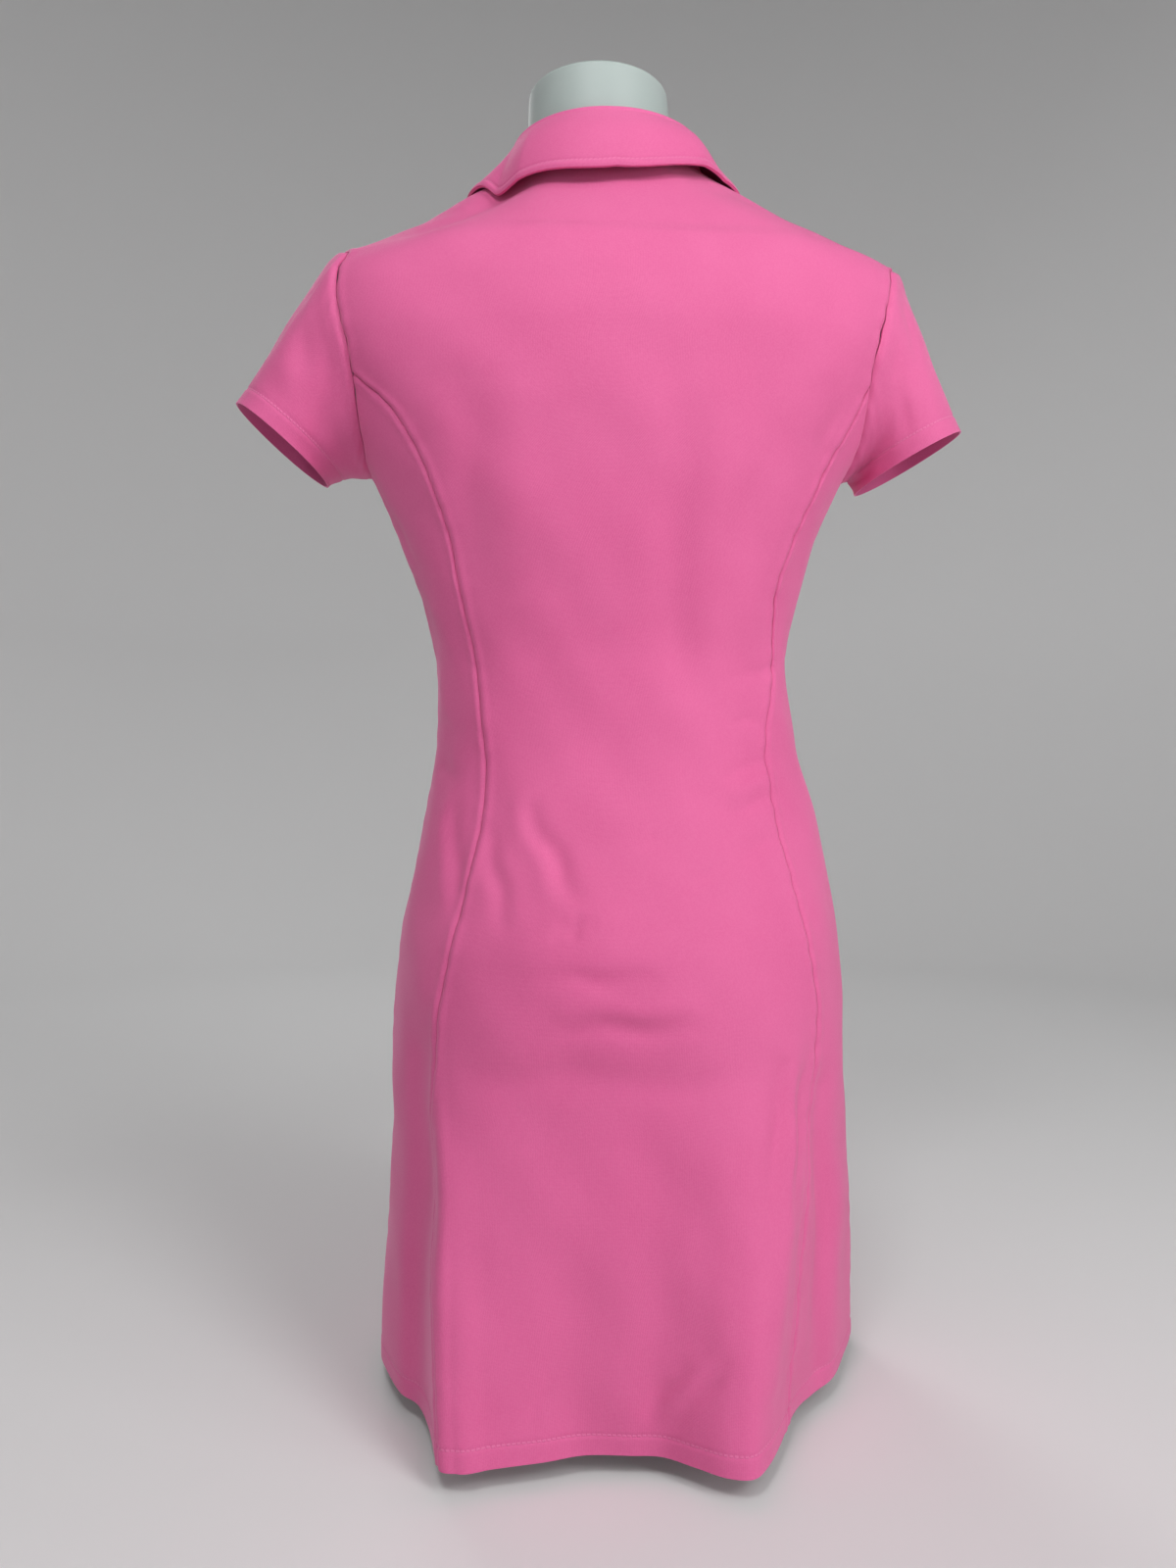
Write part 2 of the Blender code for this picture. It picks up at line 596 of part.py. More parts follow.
def collar_profile(turn, side):
    """The middle of the collar's cloth at one turn from centre back: up the stand, over and down."""
    sign = 1.0 if side == "left" else -1.0
    row = {name: float(column(COLLAR, COLLAR_COLUMNS, name, turn)) for name in COLLAR_COLUMNS[1:]}
    bearing = 90.0 - sign * turn
    angle, height = spot(bearing, row["neck"])
    seam = body_point(angle, height)
    climb = body_point(angle, height + 0.002) - seam
    climb /= np.linalg.norm(climb)
    base = seam - CLOTH / 2 * body_normal(angle, height) + (NECK_GAP + COLLAR_CLOTH / 2) * climb
    out = np.array([math.cos(math.radians(bearing)), math.sin(math.radians(bearing)), 0.0])
    fold = np.array([*COLLAR_CENTRE, row["fold"] - FOLD_RADIUS]) + row["fold_reach"] * out
    angle, height = spot(90.0 - sign * row["edge_turn"], row["edge"])
    edge = body_point(angle, height) + row["lift"] * body_normal(angle, height)
    up = np.array([0.0, 0.0, 1.0])
    points = [base, base + 0.5 * (fold - FOLD_RADIUS * out - base)]
    for swing in (180.0, 135.0, 90.0, 45.0, 0.0):
        a = math.radians(swing)
        points.append(fold + FOLD_RADIUS * (math.cos(a) * out + math.sin(a) * up))
    last = points[-1]
    for share in (0.33, 0.67, 1.0):
        points.append(last + share * (edge - last) + 0.0030 * math.sin(math.pi * share) * (up + out))
    return np.array(points)


def make_collar():
    turns = np.concatenate([np.arange(0.0, 90.0, 10.0), SIDE_TURNS, [COLLAR_END]])
    rows = [collar_profile(t, "left") for t in turns[::-1]] + [collar_profile(t, "right") for t in turns[1:]]
    middle = np.array(rows)
    along = np.gradient(middle, axis=0)
    across = np.gradient(middle, axis=1)
    normal = np.cross(across, along)
    normal /= np.linalg.norm(normal, axis=-1, keepdims=True)
    half = COLLAR_CLOTH / 2
    cloth_object("collar", middle + half * normal, middle - half * normal, "pink_knit")


def ring_solid(name, rings, material):
    """A closed solid through rings of points, each with the same number of points, from low to high."""
    count = len(rings[0])
    points = [p for ring in rings for p in ring]
    faces = [list(reversed(range(count)))]
    for k in range(len(rings) - 1):
        for i in range(count):
            j = (i + 1) % count
            faces.append([k * count + i, k * count + j, (k + 1) * count + j, (k + 1) * count + i])
    faces.append([(len(rings) - 1) * count + i for i in range(count)])
    return add_object(name, points, faces, material)


def make_form():
    """Torso and neck of the dress form, one smooth solid inside the dress."""
    angles = np.arange(0.0, 360.0, 11.25)
    rings = []
    for drop, inset in ((0.0, 0.030), (0.004, 0.014), (0.012, 0.005)):
        height = FORM_BOTTOM + drop
        rings.append(section_point(angles, height + 0 * angles, float(body("ease", height)) + inset))
    for height in np.concatenate([np.linspace(FORM_BOTTOM + 0.03, 0.72, 19), np.linspace(0.735, 0.872, 17)]):
        rings.append(section_point(angles, height + 0 * angles, float(body("ease", height))))
    rings.append(section_point(angles, NECK_TOP - NECK_EDGE + 0 * angles, 0.0))
    rings.append(section_point(angles, NECK_TOP - NECK_EDGE / 3 + 0 * angles, NECK_EDGE / 3))
    rings.append(section_point(angles, NECK_TOP + 0 * angles, NECK_EDGE))
    ring_solid("form_torso", rings, "form_cover")


def turned(name, profile, sides, centre, material):
    """A turned solid on a vertical axis from rows of (radius, height)."""
    angles = [2 * math.pi * i / sides for i in range(sides)]
    rings = [
        [(centre[0] + r * math.cos(a), centre[1] + r * math.sin(a), h) for a in angles] for r, h in profile
    ]
    ring_solid(name, rings, material)


def make_stand():
    edge = 0.003
    base = ((BASE_RADIUS, 0.0), (BASE_RADIUS, BASE_HEIGHT - edge), (BASE_RADIUS - edge, BASE_HEIGHT))
    turned("stand_base", base, 48, (0.0, 0.0), "stand_metal")
    pole = ((POLE_RADIUS, BASE_HEIGHT + SEAM_GAP), (POLE_RADIUS, FORM_BOTTOM - SEAM_GAP))
    turned("stand_pole", pole, 20, (0.0, 0.0), "stand_metal")


def make_button(name, height):
    """A round button that stands on the placket."""
    angle = angle_where(PLACKET_X, 0, height, 225.0, 315.0)
    seat = body_point(angle, height)
    out = body_normal(angle, height)
    side = np.cross([0.0, 0.0, 1.0], out)
    side /= np.linalg.norm(side)
    up = np.cross(out, side)
    rim = BUTTON_HEIGHT * 0.3
    profile = (
        (0.72 * BUTTON_RADIUS, 0.0),
        (BUTTON_RADIUS, rim),
        (BUTTON_RADIUS, BUTTON_HEIGHT - rim),
        (0.86 * BUTTON_RADIUS, BUTTON_HEIGHT),
    )
    lift = 0.0008 + 0.0004
    rings = []
    for radius, rise in profile:
        ring = []
        for k in range(16):
            a = 2 * math.pi * k / 16
            ring.append(seat + (lift + rise) * out + radius * (math.cos(a) * side + math.sin(a) * up))
        rings.append(ring)
    ring_solid(name, rings, "button")


def clear_scene():
    for obj in list(bpy.data.objects):
        bpy.data.objects.remove(obj, do_unlink=True)


def make_materials():
    for name, (color, roughness) in MATERIALS.items():
        material = bpy.data.materials.new(name)
        material.use_nodes = True
        shader = material.node_tree.nodes["Principled BSDF"]
        shader.inputs["Base Color"].default_value = (*color, 1.0)
        shader.inputs["Roughness"].default_value = roughness


def main():
    clear_scene()
    make_materials()
    make_back_center()
    for side in ("left", "right"):
        make_back_side(side)
        make_sleeve(side)
    grid, low, first, last = make_front()
    make_placket(grid, low, first, last)
    for k, height in enumerate(BUTTON_HEIGHTS):
        make_button("button_" + str(k + 1), height)
    make_collar()
    make_form()
    make_stand()


main()
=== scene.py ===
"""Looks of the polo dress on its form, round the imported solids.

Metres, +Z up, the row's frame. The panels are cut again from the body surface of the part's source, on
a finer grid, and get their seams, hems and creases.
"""

import math

import bpy
import numpy as np
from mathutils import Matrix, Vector


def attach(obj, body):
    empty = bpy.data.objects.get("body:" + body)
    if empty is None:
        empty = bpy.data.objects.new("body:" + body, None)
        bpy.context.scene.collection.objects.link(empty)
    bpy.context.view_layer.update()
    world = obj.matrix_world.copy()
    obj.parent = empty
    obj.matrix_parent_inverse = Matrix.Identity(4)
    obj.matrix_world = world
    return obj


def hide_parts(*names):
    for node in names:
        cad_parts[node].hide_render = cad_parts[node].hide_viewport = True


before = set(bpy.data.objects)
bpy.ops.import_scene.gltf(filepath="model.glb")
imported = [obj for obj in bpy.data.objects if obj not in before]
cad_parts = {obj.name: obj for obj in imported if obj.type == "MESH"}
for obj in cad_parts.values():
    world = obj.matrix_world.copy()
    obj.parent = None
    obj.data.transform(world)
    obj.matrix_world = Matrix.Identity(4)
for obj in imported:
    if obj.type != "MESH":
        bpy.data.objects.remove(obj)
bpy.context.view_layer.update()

# ---- driving dimensions
CLOTH = 0.0014  # wall of the knitted cloth
LOOK_CLOTH = 0.0012  # wall of the panels and sleeves made here
COLLAR_CLOTH = 0.0022  # the collar is two layers
SEAM_GAP = 0.0003  # between the edges of two panels
SLEEVE_GAP = 0.0006  # from an armhole to its sleeve
SKIN_SHARE = 1.5  # how far a sleeve follows the panels as it leaves them
HEM_HEIGHT = 0.014  # hem above the surface that the stand is on
FOLD_TOP = 0.300  # the skirt starts to swing out to its hem here
UNDERARM = 0.628
PRINCESS_TURN = 105.0  # where the back's seams start on the armhole
SHOULDER_TIP = {"left": 0.7770, "right": 0.7730}  # height of the top of each armhole
NECK_TOP = 0.896  # the form's neck is cut off level
NECK_EDGE = 0.003
FORM_BOTTOM = 0.195
PLACKET_WIDTH = 0.030
PLACKET_END = 0.640  # height of its lower edge
PLACKET_X = 0.010
PLACKET_STITCH = 0.0022  # from its edges to its stitched line
POLE_RADIUS = 0.011
BASE_RADIUS = 0.098
BASE_HEIGHT = 0.010
BUTTON_RADIUS = 0.0055
BUTTON_HEIGHT = 0.0024
BUTTON_SEAT = 0.0012  # how far off the cloth it lies
THREAD_RADIUS = 0.00032
THREAD_REACH = 0.0011  # from the button's middle to a thread's end, both ways

BODY_COLUMNS = ("height", "half_width", "back", "front", "centre_x", "square_back", "square_front", "ease")
BODY = (
    # height, half width, depth behind and before, centre, squareness behind and before, form's inset
    (0.0000, 0.1690, 0.1450, 0.1360, 0.0000, 2.20, 2.20, 0.0300),
    (0.0600, 0.1635, 0.1400, 0.1310, -0.0010, 2.20, 2.20, 0.0300),
    (0.1200, 0.1590, 0.1330, 0.1240, -0.0020, 2.20, 2.20, 0.0200),
    (0.1800, 0.1555, 0.1260, 0.1160, -0.0010, 2.20, 2.20, 0.0100),
    (0.2200, 0.1560, 0.1240, 0.1110, 0.0010, 2.20, 2.20, 0.0040),
    (0.2600, 0.1558, 0.1270, 0.1070, 0.0010, 2.15, 2.20, 0.0032),
    (0.3000, 0.1530, 0.1240, 0.1030, 0.0010, 2.15, 2.15, 0.0032),
    (0.3400, 0.1475, 0.1100, 0.0980, 0.0000, 2.15, 2.10, 0.0030),
    (0.3850, 0.1376, 0.0940, 0.0910, 0.0000, 2.15, 2.10, 0.0050),
    (0.4400, 0.1256, 0.0820, 0.0850, 0.0025, 2.20, 2.10, 0.0060),
    (0.4900, 0.1225, 0.0810, 0.0870, 0.0060, 2.25, 2.15, 0.0050),
    (0.5300, 0.1290, 0.0870, 0.0980, 0.0075, 2.30, 2.25, 0.0030),
    (0.5760, 0.1430, 0.0960, 0.1100, 0.0090, 2.35, 2.35, 0.0032),
    (0.6200, 0.1620, 0.1030, 0.1160, 0.0090, 2.40, 2.40, 0.0044),
    (0.6600, 0.1830, 0.1080, 0.1150, 0.0090, 2.40, 2.40, 0.0050),
    (0.7000, 0.2010, 0.1090, 0.1090, 0.0090, 2.40, 2.40, 0.0050),
    (0.7300, 0.2100, 0.1050, 0.1010, 0.0090, 2.35, 2.35, 0.0060),
    (0.7500, 0.2134, 0.1000, 0.0930, 0.0090, 2.30, 2.30, 0.0100),
    (0.7650, 0.2081, 0.0945, 0.0860, 0.0090, 2.30, 2.30, 0.0140),
    (0.7760, 0.1890, 0.0900, 0.0800, 0.0090, 2.30, 2.30, 0.0130),
    (0.7840, 0.1739, 0.0860, 0.0750, 0.0090, 2.30, 2.30, 0.0105),
    (0.7922, 0.1572, 0.0815, 0.0700, 0.0090, 2.25, 2.25, 0.0080),
    (0.8004, 0.1371, 0.0765, 0.0660, 0.0090, 2.20, 2.20, 0.0066),
    (0.8085, 0.1217, 0.0715, 0.0625, 0.0095, 2.15, 2.15, 0.0066),
    (0.8166, 0.1067, 0.0665, 0.0595, 0.0100, 2.10, 2.10, 0.0066),
    (0.8260, 0.0859, 0.0610, 0.0565, 0.0105, 2.05, 2.05, 0.0060),
    (0.8360, 0.0690, 0.0560, 0.0540, 0.0115, 2.00, 2.00, 0.0062),
    (0.8460, 0.0600, 0.0535, 0.0525, 0.0125, 2.00, 2.00, 0.0040),
    (0.8580, 0.0540, 0.0515, 0.0515, 0.0140, 2.00, 2.00, 0.0010),
    (0.8720, 0.0500, 0.0500, 0.0500, 0.0155, 2.00, 2.00, 0.0000),
    (0.9000, 0.0485, 0.0485, 0.0485, 0.0160, 2.00, 2.00, 0.0000),
)

HEM = (
    # angle, x, y
    # plan of the hem: a deep fold hangs at each back seam, softer ones go round the front
    (0.0, 0.1670, -0.0100),
    (12.0, 0.1640, 0.0180),
    (22.0, 0.1500, 0.0560),
    (31.0, 0.1340, 0.0780),
    (35.5, 0.1265, 0.1050),
    (39.5, 0.1190, 0.1430),
    (44.0, 0.1080, 0.1500),
    (52.0, 0.0880, 0.1465),
    (62.0, 0.0600, 0.1415),
    (73.0, 0.0350, 0.1360),
    (83.0, 0.0080, 0.1390),
    (93.0, -0.0130, 0.1405),
    (102.0, -0.0310, 0.1520),
    (110.0, -0.0490, 0.1640),
    (116.0, -0.0625, 0.1655),
    (122.0, -0.0735, 0.1530),
    (128.0, -0.0840, 0.1330),
    (133.5, -0.0935, 0.1120),
    (140.0, -0.1050, 0.0920),
    (148.0, -0.1210, 0.0740),
    (157.0, -0.1370, 0.0550),
    (168.0, -0.1530, 0.0230),
    (180.0, -0.1690, -0.0140),
    (194.0, -0.1650, -0.0480),
    (208.0, -0.1440, -0.0780),
    (224.0, -0.1180, -0.1060),
    (238.0, -0.0920, -0.1340),
    (249.0, -0.0640, -0.1430),
    (260.0, -0.0300, -0.1330),
    (270.0, 0.0020, -0.1290),
    (281.0, 0.0340, -0.1360),
    (293.0, 0.0680, -0.1450),
    (305.0, 0.0960, -0.1310),
    (319.0, 0.1220, -0.1010),
    (334.0, 0.1490, -0.0760),
    (348.0, 0.1650, -0.0440),
)

SWELLS = (
    # angle, height, spread of the angle and of the height, reach
    # what the level sections leave out: the bust, the two sides of the seat and the fall of the shoulders
    (296.0, 0.632, 19.0, 0.044, 0.0130),
    (244.0, 0.632, 19.0, 0.044, 0.0130),
    (66.0, 0.292, 24.0, 0.050, 0.0040),
    (114.0, 0.292, 24.0, 0.050, 0.0040),
    (38.0, 0.790, 26.0, 0.030, -0.0337),
    (142.0, 0.790, 26.0, 0.030, -0.0115),
)

PRINCESS_COLUMNS = ("height", "left", "right")
PRINCESS = (
    # angles of the back's two long seams
    (0.000, 39.5, 133.5),
    (0.050, 39.3, 133.0),
    (0.100, 38.5, 133.5),
    (0.150, 36.8, 135.8),
    (0.195, 36.8, 138.0),
    (0.230, 38.5, 139.8),
    (0.262, 40.0, 139.5),
    (0.300, 43.0, 137.0),
    (0.340, 44.8, 134.8),
    (0.385, 46.3, 134.0),
    (0.424, 45.6, 135.2),
    (0.450, 44.0, 138.5),
    (0.472, 43.0, 143.0),
    (0.490, 42.0, 145.2),
    (0.520, 41.2, 143.0),
    (0.545, 41.6, 141.2),
    (0.570, 43.0, 143.0),
    (0.610, 43.2, 145.2),
    (0.632, 42.0, 146.5),
    (0.652, 40.0, 147.5),
)

ARMHOLE_COLUMNS = ("turn", "y", "height")
ARMHOLE = (
    # seen from the side, from the shoulder's tip down the back and up the front; height as a share
    (0.0, 0.0000, 1.000),
    (30.0, 0.0400, 0.930),
    (60.0, 0.0600, 0.735),
    (90.0, 0.0650, 0.485),
    (105.0, 0.0600, 0.345),
    (125.0, 0.0480, 0.185),
    (150.0, 0.0260, 0.050),
    (180.0, 0.0000, 0.000),
    (210.0, -0.0320, 0.045),
    (235.0, -0.0600, 0.175),
    (265.0, -0.0760, 0.400),
    (295.0, -0.0720, 0.650),
    (330.0, -0.0420, 0.910),
    (360.0, 0.0000, 1.000),
)

SLEEVES = {
    # middle of the cuff, degrees the sleeve points down, the cuff's two half widths, its spring
    "left": (0.2364, -0.0020, 0.6479, 50.0, 0.0391, 0.0520, 0.0300, 0.0065),
    "right": (-0.2072, -0.0020, 0.6421, 61.5, 0.0393, 0.0540, 0.0160, 0.0235),
}

COLLAR_COLUMNS = ("turn", "neck", "fold", "fold_reach", "edge_turn", "edge", "lift")
COLLAR = (
    # turn from centre back; plan distances from the neck's middle of the neck seam, the fold and the
    # outer edge; height of the fold; turn at which the edge lies, and its lift off the shoulders
    (0.0, 0.0610, 0.8550, 0.0620, 0.0, 0.0745, 0.0080),
    (30.0, 0.0625, 0.8550, 0.0635, 30.0, 0.0775, 0.0075),
    (60.0, 0.0670, 0.8530, 0.0660, 61.0, 0.0835, 0.0062),
    (90.0, 0.0725, 0.8470, 0.0645, 91.0, 0.0970, 0.0062),
    (115.0, 0.0735, 0.8430, 0.0690, 114.0, 0.1025, 0.0048),
    (140.0, 0.0745, 0.8330, 0.0735, 131.0, 0.1020, 0.0048),
    (160.0, 0.0765, 0.8110, 0.0765, 143.0, 0.1040, 0.0048),
    (171.0, 0.0780, 0.7990, 0.0790, 153.0, 0.1080, 0.0048),
)
COLLAR_END = 173.0
COLLAR_CENTRE = (0.0100, 0.0000)
NECK_GAP = 0.0006  # between the neck seam's edge and the collar's stand
FOLD_RADIUS = 0.0028

BUTTON_HEIGHTS = (0.760, 0.712, 0.664)


# ---- curves
def smooth(x, xs, ys):
    """The smooth curve through the points xs, ys that never overshoots them."""
    xs = np.asarray(xs, float)
    ys = np.asarray(ys, float)
    step = np.diff(xs)
    rise = np.diff(ys) / step
    slope = np.zeros(len(xs))
    slope[0], slope[-1] = rise[0], rise[-1]
    for i in range(1, len(step)):
        if rise[i - 1] * rise[i] > 0:
            left = 2 * step[i] + step[i - 1]
            right = step[i] + 2 * step[i - 1]
            slope[i] = (left + right) / (left / rise[i - 1] + right / rise[i])
    return hermite(x, xs, ys, slope)


def hermite(x, xs, ys, slope):
    """The cubic curve through the points xs, ys with these slopes."""
    x = np.clip(np.asarray(x, float), xs[0], xs[-1])
    i = np.clip(np.searchsorted(xs, x, side="right") - 1, 0, len(xs) - 2)
    step = xs[i + 1] - xs[i]
    s = (x - xs[i]) / step
    start = ys[i] * (1 + 2 * s) * (1 - s) ** 2 + step * s * (1 - s) ** 2 * slope[i]
    end = ys[i + 1] * s**2 * (3 - 2 * s) - step * s**2 * (1 - s) * slope[i + 1]
    return start + end


def round_curve(angle, column):
    """One column of HEM at any angle: a curve that closes on itself."""
    xs = np.array([row[0] for row in HEM])
    ys = np.array([row[column] for row in HEM])
    xs = np.concatenate([xs[-2:] - 360, xs, xs[:2] + 360])
    ys = np.concatenate([ys[-2:], ys, ys[:2]])
    slope = np.gradient(ys, xs)
    return hermite(np.mod(angle, 360.0), xs, ys, slope)


def column(table, columns, name, at):
    """One column of a table at any value of its first column."""
    k = columns.index(name)
    return smooth(at, [row[0] for row in table], [row[k] for row in table])


def body(name, height):
    return column(BODY, BODY_COLUMNS, name, height)


def unit(vectors):
    """The same directions at length one."""
    return vectors / np.linalg.norm(vectors, axis=-1, keepdims=True)


# ---- the body surface
def apart(a, b):
    """Signed angle from b to a, within half a turn."""
    return (a - b + 180.0) % 360.0 - 180.0


def section_point(angle, height, inside):
    """Points of the body's level sections, moved in by some distance."""
    tau = np.radians(angle)
    is_back = np.sin(tau) >= 0
    wide = body("half_width", height) - inside
    deep = np.where(is_back, body("back", height), body("front", height)) - inside
    square = np.where(is_back, body("square_back", height), body("square_front", height))
    bearing = np.arctan2(deep * np.sin(tau), wide * np.cos(tau))
    across = np.abs(np.cos(bearing)) / wide
    along = np.abs(np.sin(bearing)) / deep
    radius = (across**square + along**square) ** (-1 / square)
    for middle, level, spread, tall, reach in SWELLS:
        near = np.exp(-((apart(angle, middle) / spread) ** 2) - ((height - level) / tall) ** 2)
        radius = radius + reach * near
    x = body("centre_x", height) + radius * np.cos(bearing)
    return np.stack([x, radius * np.sin(bearing), height], axis=-1)


def body_point(angle, height):
    """Points of the outside of the dress, its skirt swung out to the plan of the hem."""
    angle, height = np.broadcast_arrays(np.asarray(angle, float), np.asarray(height, float))
    point = section_point(angle, height, 0.0)
    swing = np.clip((FOLD_TOP - height) / (FOLD_TOP - HEM_HEIGHT), 0, 1) ** 1.3
    hem = np.stack([round_curve(angle, 1), round_curve(angle, 2), height], axis=-1)
    return point * (1 - swing[..., None]) + hem * swing[..., None]


def body_normal(angle, height):
    """Outward normals of the body surface."""
    turn, rise = 0.3, 0.0005
    around = body_point(angle + turn, height) - body_point(angle - turn, height)
    up = body_point(angle, height + rise) - body_point(angle, height - rise)
    return unit(np.cross(around, up))


def angle_where(value, axis, height, low, high):
    """The angle between low and high at which the body surface has this x or y at a height."""
    angles = np.linspace(low, high, 721)
    places = body_point(angles, height)[:, axis]
    if places[0] > places[-1]:
        angles, places = angles[::-1], places[::-1]
    return float(np.interp(value, places, angles))


# ---- seams, as rows of (angle, height)
def mirror(seam, side):
    """A seam of the left side as it lies on this side."""
    seam = np.array(seam, float)
    if side == "right":
        seam[:, 0] = 180.0 - seam[:, 0]
    return seam


def armhole(side, turns):
    """Points of an armhole from the shoulder's tip (turn 0) over the back and up the front (360)."""
    rows = []
    for turn in turns:
        share = float(column(ARMHOLE, ARMHOLE_COLUMNS, "height", turn))
        height = UNDERARM + share * (SHOULDER_TIP[side] - UNDERARM)
        y = float(column(ARMHOLE, ARMHOLE_COLUMNS, "y", turn))
        rows.append((angle_where(y, 1, height, -89.0, 89.0), height))
    return mirror(rows, side)


NECK_ANGLES = np.arange(0.0, 360.0, 2.0)
NECK_HEIGHTS = np.linspace(0.73, 0.86, 66)


def neck_ring(height):
    """Bearings and reaches, in plan from the neck's middle, of the body surface at a height."""
    x, y = body_point(NECK_ANGLES, height)[:, :2].T - np.array(COLLAR_CENTRE)[:, None]
    return np.degrees(np.arctan2(y, x)), np.hypot(x, y)


NECK_RINGS = [neck_ring(height) for height in NECK_HEIGHTS]


def spot(bearing, reach):
    """Angle and height at which the body surface lies this far, in plan, from the neck's middle."""
    reaches = np.array([np.interp(bearing, *ring, period=360.0) for ring in NECK_RINGS])
    height = float(np.interp(-reach, -reaches, NECK_HEIGHTS))
    bearings = neck_ring(height)[0]
    return bearing + float(np.interp(bearing, bearings, apart(NECK_ANGLES, bearings), period=360.0)), height


def neck_line(bearings):
    """Points of the neckline, to which the collar is sewn."""
    turns = np.abs(apart(bearings, 90.0))
    reaches = [float(column(COLLAR, COLLAR_COLUMNS, "neck", turn)) for turn in turns]
    return np.array([spot(bearing, reach) for bearing, reach in zip(bearings, reaches)])


def shoulder_seam(side, count):
    """A shoulder seam from the armhole to the neckline."""
    top = neck_line(np.array([0.0 if side == "left" else 180.0]))[0][1]
    return mirror([(0.0, h) for h in np.linspace(SHOULDER_TIP[side], top, count)], side)


# ---- grids
def fill(left, right, bottom, top, u):
    """A grid of (angle, height) between four edges; u says how far across each column lies."""
    v = np.linspace(0, 1, len(left))[:, None, None]
    u = u[None, :, None]
    sides = (1 - u) * left[:, None] + u * right[:, None]
    ends = (1 - v) * bottom[None] + v * top[None]
    corners = (
        (1 - u) * (1 - v) * bottom[0] + u * (1 - v) * bottom[-1] + (1 - u) * v * top[0] + u * v * top[-1]
    )
    return sides + ends - corners


def plumb_line(top, edge):
    """A straight column of a panel, from neckline to hem, its rows level with those of an edge."""
    x = body_point(*top)[0]
    low, high = (20.0, 160.0) if top[0] < 180.0 else (225.0, 315.0)
    share = (edge[:, 1] - edge[0, 1]) / (edge[-1, 1] - edge[0, 1])
    heights = HEM_HEIGHT + share * (top[1] - HEM_HEIGHT)
    return np.array([(angle_where(x, 0, h, low, high), h) for h in heights[:-1]] + [tuple(top)])


def crowd(count, start, end):
    """Shares from 0 to 1 that lie closer together at the start, at the end or at both."""
    t = np.linspace(0, 1, count)
    if start and end:
        eased = (1 - np.cos(math.pi * t)) / 2
    elif start:
        eased = 1 - np.cos(math.pi * t / 2)
    elif end:
        eased = np.sin(math.pi * t / 2)
    else:
        return t
    return 0.25 * t + 0.75 * eased


def side_by_side(left, right, parts):
    """A grid between two edges that is filled in parts, with a plumb line where two parts meet.

    Each part is (bearing where it starts, bearing where it ends, its shares).
    """
    grids = []
    near = left
    for k, (start, end, u) in enumerate(parts):
        top = neck_line(start + (end - start) * u)
        if k == 0:
            top[0] = left[-1]
        if k == len(parts) - 1:
            top[-1] = right[-1]
            far = right
        else:
            far = plumb_line(top[-1], left)
        top[0] = near[-1]
        bottom = near[0] + (far[0] - near[0]) * u[:, None]
        part = fill(near, far, bottom, top, u)
        grids.append(part if k == 0 else part[:, 1:])
        near = far
    return np.concatenate(grids, axis=1)


def steps(points, axis):
    """Distances along a grid from its first row or column."""
    far = np.linalg.norm(np.diff(points, axis=axis), axis=-1)
    start = np.zeros_like(np.take(far, [0], axis=axis))
    return np.concatenate([start, np.cumsum(far, axis=axis)], axis=axis)


def inward(edge, next_row):
    """Unit steps from an edge of a grid toward the row next to it, at right angles to the edge."""
    along = unit(np.gradient(edge, axis=0))
    step = next_row - edge
    return unit(step - (step * along).sum(-1, keepdims=True) * along)


